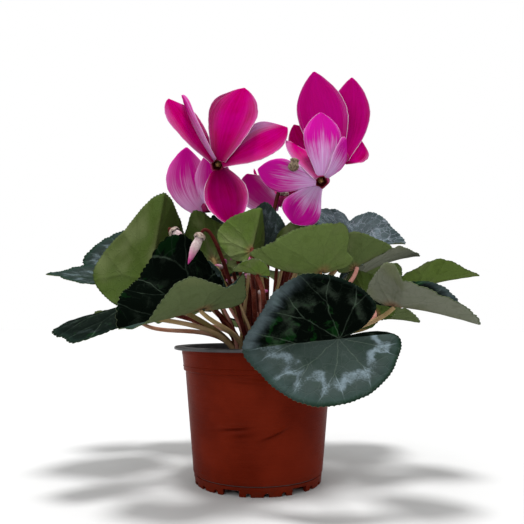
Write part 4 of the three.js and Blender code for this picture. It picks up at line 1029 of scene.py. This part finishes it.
def foot_cut_tree():
    """Notches round the pot's foot, every fourth one a wide slot, and the drainage holes."""
    b = Builder(
        "foot_notches", count=NOTCH_COUNT, slots=SLOT_COUNT, radius=FOOT_RADIUS * MM,
        notch_radius=NOTCH_RADIUS * MM, slot=tuple(side * MM for side in SLOT_SIZE), holes=DRAIN_COUNT)

    def cylinder(sides, radius, depth):
        return b.node("MeshCylinder", {"Vertices": sides, "Radius": radius, "Depth": depth})

    def around(count, distance, solid):
        ring = b.node("MeshCircle", {"Vertices": count, "Radius": distance})
        spots = b.strew(ring, solid, rotation=b.arrow(0.0, 0.0, b.position().turn()))
        half_step = b.arrow(0.0, 0.0, math.pi / NOTCH_COUNT)
        return b.node("Transform", {"Geometry": spots, "Rotation": half_step})

    narrow = b.node("Transform", {
        "Geometry": cylinder(20, b["notch_radius"], NOTCH_DEPTH * MM),
        "Rotation": (0.0, math.pi / 2, 0.0), "Translation": (0.0, 0.0, NOTCH_LIFT * MM)})
    cutters = b.join(
        around(b["count"], b["radius"], narrow),
        around(b["slots"], b["radius"], b.node("MeshCube", {"Size": b["slot"]})),
        around(b["holes"], DRAIN_RING_RADIUS * MM, cylinder(32, DRAIN_RADIUS * MM, 20 * MM)))
    cut = {"Mesh 1": b.start, "Mesh 2": b.real(cutters)}
    return b.end(b.node("MeshBoolean", cut, operation="DIFFERENCE", solver="EXACT"))


BLADE = blade_tree()
PETALS = petal_tree()
STALKS = stalk_tree()
CRUMBS = crumb_tree()
FOOT_CUTS = foot_cut_tree()


# Shapes that the trees start from, in millimetres until they are scaled

def cubic(root, first, second, end, count):
    """Points along a cubic curve."""
    points = []
    for i in range(count + 1):
        t = i / count
        u = 1 - t
        points.append(root * u ** 3 + first * (3 * u * u * t) + second * (3 * u * t * t) + end * t ** 3)
    return points


def own_tint(number):
    """A tint for each stalk of a row, spread evenly."""
    return (number * GOLDEN_SHARE) % 1


def curve_data(name, lines, tints):
    """A curve with one poly spline for each line of (point, radius) pairs, its tint kept as its tilt."""
    data = bpy.data.curves.new(name, "CURVE")
    data.dimensions = "3D"
    for line, tint in zip(lines, tints):
        spline = data.splines.new("POLY")
        spline.points.add(len(line) - 1)
        for target, (point, radius) in zip(spline.points, line):
            target.co = (*(point * MM), 1.0)
            target.radius = radius * MM
            target.tilt = tint
    return data


def ring_of(mesh, layer, mark, spots):
    """Vertices at (radius, turn, height) spots, each with a mark in a layer."""
    ring = []
    for radius, turn, z in spots:
        vert = mesh.verts.new((radius * math.cos(turn) * MM, radius * math.sin(turn) * MM, z * MM))
        vert[layer] = mark
        ring.append(vert)
    return ring


def bridge(mesh, low, high, slot=0):
    """Faces between two rings, either of which may be a single point."""
    count = max(len(low), len(high))
    for i in range(count):
        j = (i + 1) % count
        corners = dict.fromkeys(
            (low[i % len(low)], low[j % len(low)], high[j % len(high)], high[i % len(high)]))
        if len(corners) > 2:
            mesh.faces.new(list(corners)).material_index = slot


def closed_mesh(mesh, name):
    """The finished mesh, smooth and with its faces outwards."""
    for face in mesh.faces:
        face.smooth = True
    bmesh.ops.recalc_face_normals(mesh, faces=mesh.faces)
    data = bpy.data.meshes.new(name)
    mesh.to_mesh(data)
    mesh.free()
    return data


def lathe_mesh(name, profile, sides, ripple=None, slots=(0,), marks=None, layer_name="depth"):
    """A closed body turned about +Z from (radius, height) pairs in millimetres. Its layer holds how
    far along the profile each ring lies, or the marks that are given."""
    mesh = bmesh.new()
    layer = mesh.verts.layers.float.new(layer_name)
    rings = []
    for index, (radius, z) in enumerate(profile):
        turns = [i / sides * TURN for i in range(sides if radius > 0 else 1)]
        mark = marks[index] if marks else index / (len(profile) - 1)
        spots = [(radius * (ripple(turn, z) if ripple else 1.0), turn, z) for turn in turns]
        rings.append(ring_of(mesh, layer, mark, spots))
    for index, (low, high) in enumerate(zip(rings, rings[1:])):
        bridge(mesh, low, high, slots[min(index, len(slots) - 1)])
    return closed_mesh(mesh, name)


def linked(name, data):
    """A new object in the scene."""
    thing = bpy.data.objects.new(name, data)
    bpy.context.scene.collection.objects.link(thing)
    return thing


def object_of(data, *materials):
    for material in materials:
        data.materials.append(material)
    return linked(data.name, data)


def aim(data, place, direction):
    """Moves a mesh made along +Z so that it starts at a place and points along a direction."""
    turn = Vector((0, 0, 1)).rotation_difference(direction).to_matrix().to_4x4()
    data.transform(Matrix.Translation(place * MM) @ turn)
    return data


def joined(name, pieces):
    """Several objects as one, with their materials kept."""
    target = pieces[0]
    with bpy.context.temp_override(
            active_object=target, object=target, selected_objects=pieces,
            selected_editable_objects=pieces):
        bpy.ops.object.join()
    target.name = name
    target.data.name = name
    return target


def settle(piece, node):
    """Declares a finished piece: it rides on the only body and stands for its node."""
    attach(piece, "root")
    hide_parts(node)


# Leaves

def leaf_axes(leaf):
    """Where a leaf starts, its way ahead, leftward and upward, and how long it is."""
    base = Vector(leaf["base"])
    ahead = Vector(leaf["tip"]) - base
    length = ahead.length
    ahead.normalize()
    faces = Vector(leaf["faces"])
    upward = (faces - ahead * faces.dot(ahead)).normalized()
    return base, ahead, upward.cross(ahead), upward, length


def make_leaf(name, leaf, number):
    base, ahead, leftward, upward, length = leaf_axes(leaf)
    given = {word: float(leaf[word]) for word in LEAF_NUMBERS}
    for word in ANGLES + SHARES:
        pair = leaf[word] if isinstance(leaf[word], tuple) else (leaf[word], leaf[word])
        for half, value in zip(("_left", "_right"), pair):
            given[word + half] = math.radians(value) if word in ANGLES else float(value)
    for place, corner in enumerate(leaf["corners"], start=1):
        given["corner_%d" % place] = Vector(corner)
    teeth = max(24, int(length * 1.7))
    piece = BLADE.make(
        name + "_blade", bpy.data.meshes.new(name), midrib_length=length * MM, base=base * MM,
        ahead=ahead, leftward=leftward, upward=upward, teeth=teeth, angle_steps=teeth * 3 + 1,
        seed=number * 0.37, tone=Vector(leaf["tone"]), shade=Vector(leaf["shade"]), upper=UPPER,
        lower=LOWER, margin=MARGIN, **given)
    settle(piece, name)


# Stalks and the tuber

def stem_root(target, spread):
    """Where a stalk leaves the tuber on its way to a target."""
    direction = math.atan2(target.y, target.x)
    reach = min(math.hypot(target.x, target.y) * 0.22, TUBER_RADIUS * 0.62) * spread
    rise = math.sqrt(1 - (reach / TUBER_RADIUS) ** 2) * TUBER_HALF_HEIGHT
    return Vector((reach * math.cos(direction), reach * math.sin(direction), TUBER_Z + rise - 3))


def tapered(points, foot, top):
    """Points with radii that shrink from foot to top."""
    last = len(points) - 1
    return [(point, foot + (top - foot) * (i / last)) for i, point in enumerate(points)]


def petiole_line(leaf):
    """A leaf's stalk, which meets the blade from below."""
    base, ahead, _, upward, _ = leaf_axes(leaf)
    end = base + ahead * 1.5 - upward * 0.5
    root = stem_root(base + ahead * 1.5 - upward * 0.8, 1)
    distance = (end - root).length
    arrive = (upward * 0.8 + ahead * leaf["lean"]).normalized()
    outward = Vector((end.x - root.x, end.y - root.y, 0)) * 0.15
    rise = root + outward + Vector((0, 0, distance * 0.35))
    first = Vector(leaf["via"]) if leaf["via"] else rise
    return tapered(cubic(root, first, end - arrive * (distance * 0.28), end, 28), *PETIOLE)


def pedicel_line(end, direction, crook, via, radii):
    """The stalk of a bloom or bud, which ends along a direction."""
    root = stem_root(end, 0.7)
    first = Vector(via) if via else root + Vector((0, 0, (end - root).length * 0.7))
    return tapered(cubic(root, first, end - direction * crook, end, 40), *radii)


def bloom_mouth(bloom):
    """The middle of a bloom's mouth, and the way that it opens."""
    return Vector(bloom["mouth"]), Vector(bloom["opens"]).normalized()


def bloom_seat(bloom, below=0.0):
    """The foot of a bloom's tube, where its calyx sits, or a point below it, and the bloom's way."""
    mouth, opens = bloom_mouth(bloom)
    return mouth - opens * (TUBE_LENGTH + CALYX_GAP + below), opens


def bud_seat(bud, below=0.0):
    """The foot of a bud, or a point below it, and the way that the bud points."""
    foot = Vector(bud["foot"])
    along = (Vector(bud["tip"]) - foot).normalized()
    return foot - along * below, along


def make_stalks():
    tints = [
        own_tint(number) if row["stalk"] is None else row["stalk"]
        for number, row in enumerate(LEAVES.values())]
    data = curve_data("petioles", [petiole_line(row) for row in LEAVES.values()], tints)
    settle(STALKS.make("leaf_stalks", data, skin=STALK), "tuber_and_stems")
    lines = [
        pedicel_line(*seat(row, CALYX_DEPTH), row.get("crook", crook), row.get("via"), radii)
        for rows, seat, crook, radii in (
            (BLOOMS, bloom_seat, BLOOM_CROOK, BLOOM_STEM), (BUDS, bud_seat, BUD_CROOK, BUD_STEM))
        for row in rows.values()]
    data = curve_data("pedicels", lines, map(own_tint, range(len(lines))))
    settle(STALKS.make("flower_stalks", data, skin=FLOWER_STEM), "tuber_and_stems")


def make_young_stalks():
    """Young stalks in the crown, each with a small closed bud at its tip."""
    lines = []
    buds = []
    shares = [(0, -1.2), (1.1, -0.6), (1.35, 1.0), (1.2, 3.0), (0.7, 5.2), (0, 6.4)]
    for number, (foot, tip, girth, _) in enumerate(YOUNG_STALKS):
        root, end = Vector(foot), Vector(tip)
        first = root + Vector((0, 0, (end - root).length * 0.4))
        second = end - (end - root) * 0.3
        lines.append(tapered(cubic(root, first, second, end, 20), girth, girth * 0.75))
        side = Vector((math.cos(number * 2.4), math.sin(number * 2.4), 0.2)).normalized()
        shape = [(r * girth, z) for r, z in shares]
        data = lathe_mesh("young_bud", shape, 10, layer_name="along")
        buds.append(object_of(aim(data, end, side), BUD))
    data = curve_data("young", lines, [tint for *_, tint in YOUNG_STALKS])
    settle(STALKS.make("young_stalks", data, skin=STALK), "tuber_and_stems")
    settle(joined("young_buds", buds), "tuber_and_stems")


def make_tuber():
    profile = []
    for i in range(TUBER_STEPS + 1):
        lift = -math.pi / 2 + math.pi * i / TUBER_STEPS
        radius = TUBER_RADIUS * math.cos(lift) if 0 < i < TUBER_STEPS else 0
        profile.append((radius, TUBER_Z + TUBER_HALF_HEIGHT * math.sin(lift)))

    def lumpy(turn, z):
        return 1 - 0.03 * abs(math.sin(turn * 4.5 + z)) - 0.012 * abs(math.sin(turn * 17 + z * 2))

    settle(object_of(lathe_mesh("tuber_body", profile, 96, lumpy), TUBER), "tuber_and_stems")


def calyx_mesh(name, radius):
    """A cup that parts into five pointed sepals."""
    mesh = bmesh.new()
    layer = mesh.verts.layers.float.new("along")
    sides = 40
    rows = [(0.0, -2.6), (0.45, -2.3), (0.85, -1.4), (1.0, -0.5), (1.0, 0.4), (1.02, 1.4)]
    walls = []
    for offset in (0.0, -0.35):
        rings = []
        for index, (share, z) in enumerate(rows):
            top = max(0, index - 3) / 2
            spots = []
            for turn in (i / sides * TURN for i in range(sides)):
                lobe = abs(math.cos(turn * 2.5)) ** 0.7
                height = z * (1 if index < 4 else 0.15 + 0.85 * lobe) + 0.15 * top
                spots.append((max(share * radius + offset + 0.12 * math.cos(turn * 10), 0.05), turn, height))
            rings.append(ring_of(mesh, layer, index / (len(rows) - 1), spots))
        walls.append(rings)
    for rings in walls:
        for low, high in zip(rings, rings[1:]):
            bridge(mesh, low, high)
        mesh.faces.new(rings[0])
    bridge(mesh, walls[0][-1], walls[1][-1])
    return closed_mesh(mesh, name)


def make_calyxes():
    cups = [(name, CALYX_RADIUS, bloom_seat(bloom)) for name, bloom in BLOOMS.items()]
    cups += [(name, bud["radius"] * BUD_CALYX_SHARE, bud_seat(bud)) for name, bud in BUDS.items()]
    pieces = [
        object_of(aim(calyx_mesh(name + "_calyx", radius), *seat), CALYX) for name, radius, seat in cups]
    settle(joined("calyxes", pieces), "tuber_and_stems")


# Blooms

def petal_points(name, bloom, number):
    """One point for each petal, with the attributes that the petal tree reads."""
    mouth, opens = bloom_mouth(bloom)
    rows = []
    for tip, faces, width, bow, form in bloom["petals"]:
        tip = Vector(tip)
        radial = (tip - opens * tip.dot(opens)).normalized()
        start = mouth + radial * (MOUTH_RADIUS - 0.9) + opens * 0.3
        end = mouth + tip
        length = (end - start).length
        control = start.lerp(end, 0.45) + (radial + opens * 0.5) * (bow * length)
        rows.append({
            "start": start * MM, "control": control * MM, "tip": end * MM, "faces": faces,
            "size": (width * MM, *form["rolls"]), "pale": (*bloom["pale"], form["dusk"]),
            "form": (form["belly"], *form["flanks"])})
    mesh = bpy.data.meshes.new(name)
    mesh.from_pydata([(0, 0, 0)] * len(rows), [], [])
    for key in rows[0]:
        layer = mesh.attributes.new(key, "FLOAT_VECTOR", "POINT")
        for item, row in zip(layer.data, rows):
            item.vector = row[key]
    layer = mesh.attributes.new("seed", "FLOAT", "POINT")
    for i, item in enumerate(layer.data):
        item.value = number * 1.7 + i * 0.61
    return mesh


def make_bloom(name, bloom, number):
    mouth, opens = bloom_mouth(bloom)
    petals = PETALS.make(
        name + "_petals", petal_points(name, bloom, number), deep=PETAL_DEEP, pale=PETAL_PALE,
        edge=PETAL_EDGE)
    bell = [
        (0, -1), (TUBE_RADIUS * 0.45, -0.95), (TUBE_RADIUS * 0.8, -0.75), (TUBE_RADIUS, -0.45),
        (THROAT_RADIUS + TUBE_WALL + 0.6, -0.15)]
    throat = [(TUBE_RADIUS - TUBE_WALL, -0.45), (TUBE_RADIUS * 0.5, -0.72), (0, -0.78)]
    profile = [(r, share * TUBE_LENGTH) for r, share in bell]
    profile += [(THROAT_RADIUS + TUBE_WALL, 0), (THROAT_RADIUS + 0.5, 0.7), (THROAT_RADIUS, 0.2)]
    profile += [(r, share * TUBE_LENGTH) for r, share in throat]

    def lobed(turn, z):
        return 1 + 0.05 * math.cos(turn * 5)

    def ribbed(turn, z):
        return 1 - 0.16 * abs(math.sin(turn * 2.5))

    depths = [0, 0, 0, 0, 0.2, 0.6, 1, 1, 1, 1, 1]
    tube = object_of(aim(lathe_mesh(name + "_tube", profile, 60, lobed, marks=depths), mouth, opens), TUBE)
    settle(joined(name + "_corolla", [petals, tube]), name)
    foot = -TUBE_LENGTH * 0.78 + 0.6
    cone = [(0, foot), (2.2, foot + 0.6), (2.45, foot + 2.6), (1.9, foot + 4.2), (1.1, -0.8), (0, 0.6)]
    anthers = aim(lathe_mesh(name + "_anther_cone", cone, 40, ribbed), mouth, opens)
    settle(object_of(anthers, ANTHER), name + "_anthers")


def make_bud(name, bud):
    foot, along = bud_seat(bud)
    length = (Vector(bud["tip"]) - foot).length
    shares = [
        (0, 0.3 / length), (0.74, 0.32 / length), (0.9, 0.15), (1, 0.3), (0.92, 0.45), (0.74, 0.6),
        (0.5, 0.76), (0.26, 0.9), (0, 1)]
    profile = [(r * bud["radius"], z * length) for r, z in shares]

    def twisted(turn, z):
        return 1 - 0.14 * abs(math.sin(turn * 2.5 + z * 0.22))

    data = lathe_mesh(name + "_furled", profile, 60, twisted, layer_name="along")
    settle(object_of(aim(data, foot, along), BUD), name)


def make_dried_bud():
    shares = [(0, -1), (0.5, -0.95), (0.9, -0.55), (0.98, -0.2), (0.75, 0.2), (0.72, 0.4), (0.9, 0.7),
              (0.55, 0.9), (0.3, 0.95), (0, 0.85)]
    profile = [(r * DRIED_BUD_RADIUS, z * DRIED_BUD_HALF) for r, z in shares]

    def shrivelled(turn, z):
        return 1 - 0.2 * abs(math.sin(turn * 3.5 + z * 0.3)) - 0.05 * math.sin(turn * 11 + z)

    data = lathe_mesh("dried_bud_husk", profile, 72, shrivelled)
    aim(data, Vector(DRIED_BUD_PLACE), Vector(DRIED_BUD_LEAN).normalized())
    settle(object_of(data, DRIED), "dried_bud")


# The pot and the soil

def pot_profile():
    """The pot's outside from its hub to its rim, and its rim and inside, as (radius, height)."""
    top, under, low = POT_HEIGHT, POT_HEIGHT - RIM_THICKNESS, SHOULDER_Z - SHOULDER_DROP
    foot, wall_foot, wall, ledge = FOOT_RADIUS, WALL_FOOT_RADIUS, WALL_RADIUS, COLLAR_FOOT_RADIUS
    collar, rim = COLLAR_RADIUS, RIM_RADIUS
    outside = [
        (0, 0), (HUB_RADIUS, 0), (HUB_RADIUS + 2, FLOOR_Z), (foot - 4, FLOOR_Z),
        (foot - FOOT_RING, 0), (foot - 0.2, 0), (foot, 0.3), (foot + 0.45, FOOT_HEIGHT - 1.6),
        (foot + 0.3, FOOT_HEIGHT - 1.2), (foot - 0.3, FOOT_HEIGHT - 0.9),
        (foot - 0.3, FOOT_HEIGHT - 0.4), (wall_foot - 0.2, FOOT_HEIGHT - 0.1),
        (wall_foot + 0.05, FOOT_HEIGHT + 0.4)]
    for i in range(1, WALL_STEPS):
        z = FOOT_HEIGHT + (low - FOOT_HEIGHT) * i / WALL_STEPS
        outside.append((wall_foot + (wall - wall_foot) * i / WALL_STEPS, z))
    outside += [(wall - 0.15, low), (wall + 0.05, SHOULDER_Z - 0.9)]
    outside += [(ledge + out, SHOULDER_Z + up) for out, up in (
        (-0.35, -0.55), (0, -0.2), (0.05, 0.6), (0.1, 1.9), (0.45, 2.3), (0.45, 2.7), (0.2, 3.1))]
    outside += [(collar + out, under + up) for out, up in (
        (-0.35, -3.4), (-0.1, -3.0), (0, -0.7), (0.5, 0))]
    inside = [
        (rim - 0.8, under), (rim - 0.15, under + 0.25), (rim, under + 0.9), (rim - 0.1, top - 0.5),
        (rim - 0.7, top), (collar - WALL + 0.8, top), (collar - WALL + 0.1, top - 0.7),
        (collar - WALL, under - 0.6), (ledge - WALL, SHOULDER_Z + 0.4), (wall - WALL, low + 0.4),
        (wall_foot - WALL, FLOOR_Z + WALL), (0, FLOOR_Z + WALL)]
    return outside, inside


def dented(turn, z):
    """How the pot's wall departs from round: slow waves, and creases with a ridge beside each."""
    wave = 0.0011 * math.sin(3 * turn + 1) + 0.0007 * math.sin(7 * turn + z * 0.07)
    for middle, height, slope, half_length, half_width, depth in POT_CREASES:
        along = (turn - middle) * WALL_RADIUS
        across = z - height - slope * along
        fade = math.exp(-((along / half_length) ** 2))
        hollow = math.exp(-(((across + half_width * 0.7) / half_width) ** 2))
        ridge = math.exp(-(((across - half_width * 0.7) / half_width) ** 2))
        wave += depth / WALL_RADIUS * fade * (ridge * 2.2 - hollow)
    return 1 + wave * min(1, max(0, (z - 8) / 10)) * (z < POT_HEIGHT - RIM_THICKNESS - 4)


def make_pot():
    outside, inside = pot_profile()
    slots = [0] * len(outside) + [1] * len(inside)
    data = lathe_mesh("pot_blank", outside + inside, POT_SIDES, dented, slots)
    for material in (POT_WALL, POT_INSIDE):
        data.materials.append(material)
    piece = FOOT_CUTS.make("pot_shell", data)
    piece.data.set_sharp_from_angle(angle=math.radians(SHARP_EDGE))
    settle(piece, "pot")


def make_soil():
    outer = WALL_RADIUS - WALL
    low = FLOOR_Z + WALL + 0.3
    profile = [
        (0, low), (WALL_FOOT_RADIUS - WALL - 0.6, low), (outer - 0.6, SHOULDER_Z - SHOULDER_DROP),
        (outer, SOIL_Z - 1), (outer * 0.93, SOIL_Z - 0.3), (outer * 0.8, SOIL_Z + 0.4)]
    profile += [(outer * (0.8 - i * 0.065), SOIL_Z + 0.4 + 1.2 * i / 12) for i in range(1, 12)]
    profile.append((0, SOIL_Z + 1.6))
    settle(CRUMBS.make("peat", lathe_mesh("peat_blank", profile, 96), peat=PEAT), "soil")


# The stage

def make_floor():
    mesh = bpy.data.meshes.new("studio_floor")
    corners = [(x * FLOOR_REACH, y * FLOOR_REACH, 0) for x, y in ((-1, -1), (1, -1), (1, 1), (-1, 1))]
    mesh.from_pydata(corners, [], [(0, 1, 2, 3)])
    object_of(mesh, FLOOR)


def make_lights():
    """The overhead softbox, far enough off to light the whole floor alike, and a small lamp."""
    sun = bpy.data.lights.new("overhead", "SUN")
    sun.energy = SUN_POWER
    sun.angle = math.radians(SUN_ANGLE)
    linked("overhead", sun).rotation_euler = (*(math.radians(v) for v in SUN_LEAN), 0)
    data = bpy.data.lights.new("front_left", "AREA")
    data.size = LAMP_SIZE
    data.energy = LAMP_POWER
    lamp = linked("front_left", data)
    lamp.location = LAMP_PLACE
    aimed = Vector(LAMP_TARGET) - Vector(LAMP_PLACE)
    lamp.rotation_euler = aimed.to_track_quat("-Z", "Y").to_euler()
    world = bpy.data.worlds.new("studio_air")
    world.use_nodes = True
    sky = world.node_tree.nodes["Background"]
    sky.inputs["Color"].default_value = (1.0, 1.0, 1.0, 1.0)
    sky.inputs["Strength"].default_value = 1.0
    bpy.context.scene.world = world
    bpy.context.scene.view_settings.view_transform = "Standard"


def make_camera():
    camera = bpy.data.cameras.new("camera")
    camera.sensor_width = SENSOR_WIDTH
    camera.lens = camera.sensor_width * FOCAL_PIXELS / FRAME_WIDTH
    camera.clip_start = 0.01
    viewer = linked("camera", camera)
    viewer.location = Vector(CAMERA_PLACE) * MM
    viewer.rotation_euler = (math.radians(90 + CAMERA_PITCH), 0, 0)
    bpy.context.scene.camera = viewer


make_floor()
make_lights()
make_camera()
make_pot()
make_soil()
make_tuber()
make_stalks()
make_young_stalks()
make_calyxes()
for number, (name, row) in enumerate(LEAVES.items()):
    make_leaf(name, row, number)
for number, (name, row) in enumerate(BLOOMS.items()):
    make_bloom(name, row, number)
for name, row in BUDS.items():
    make_bud(name, row)
make_dried_bud()
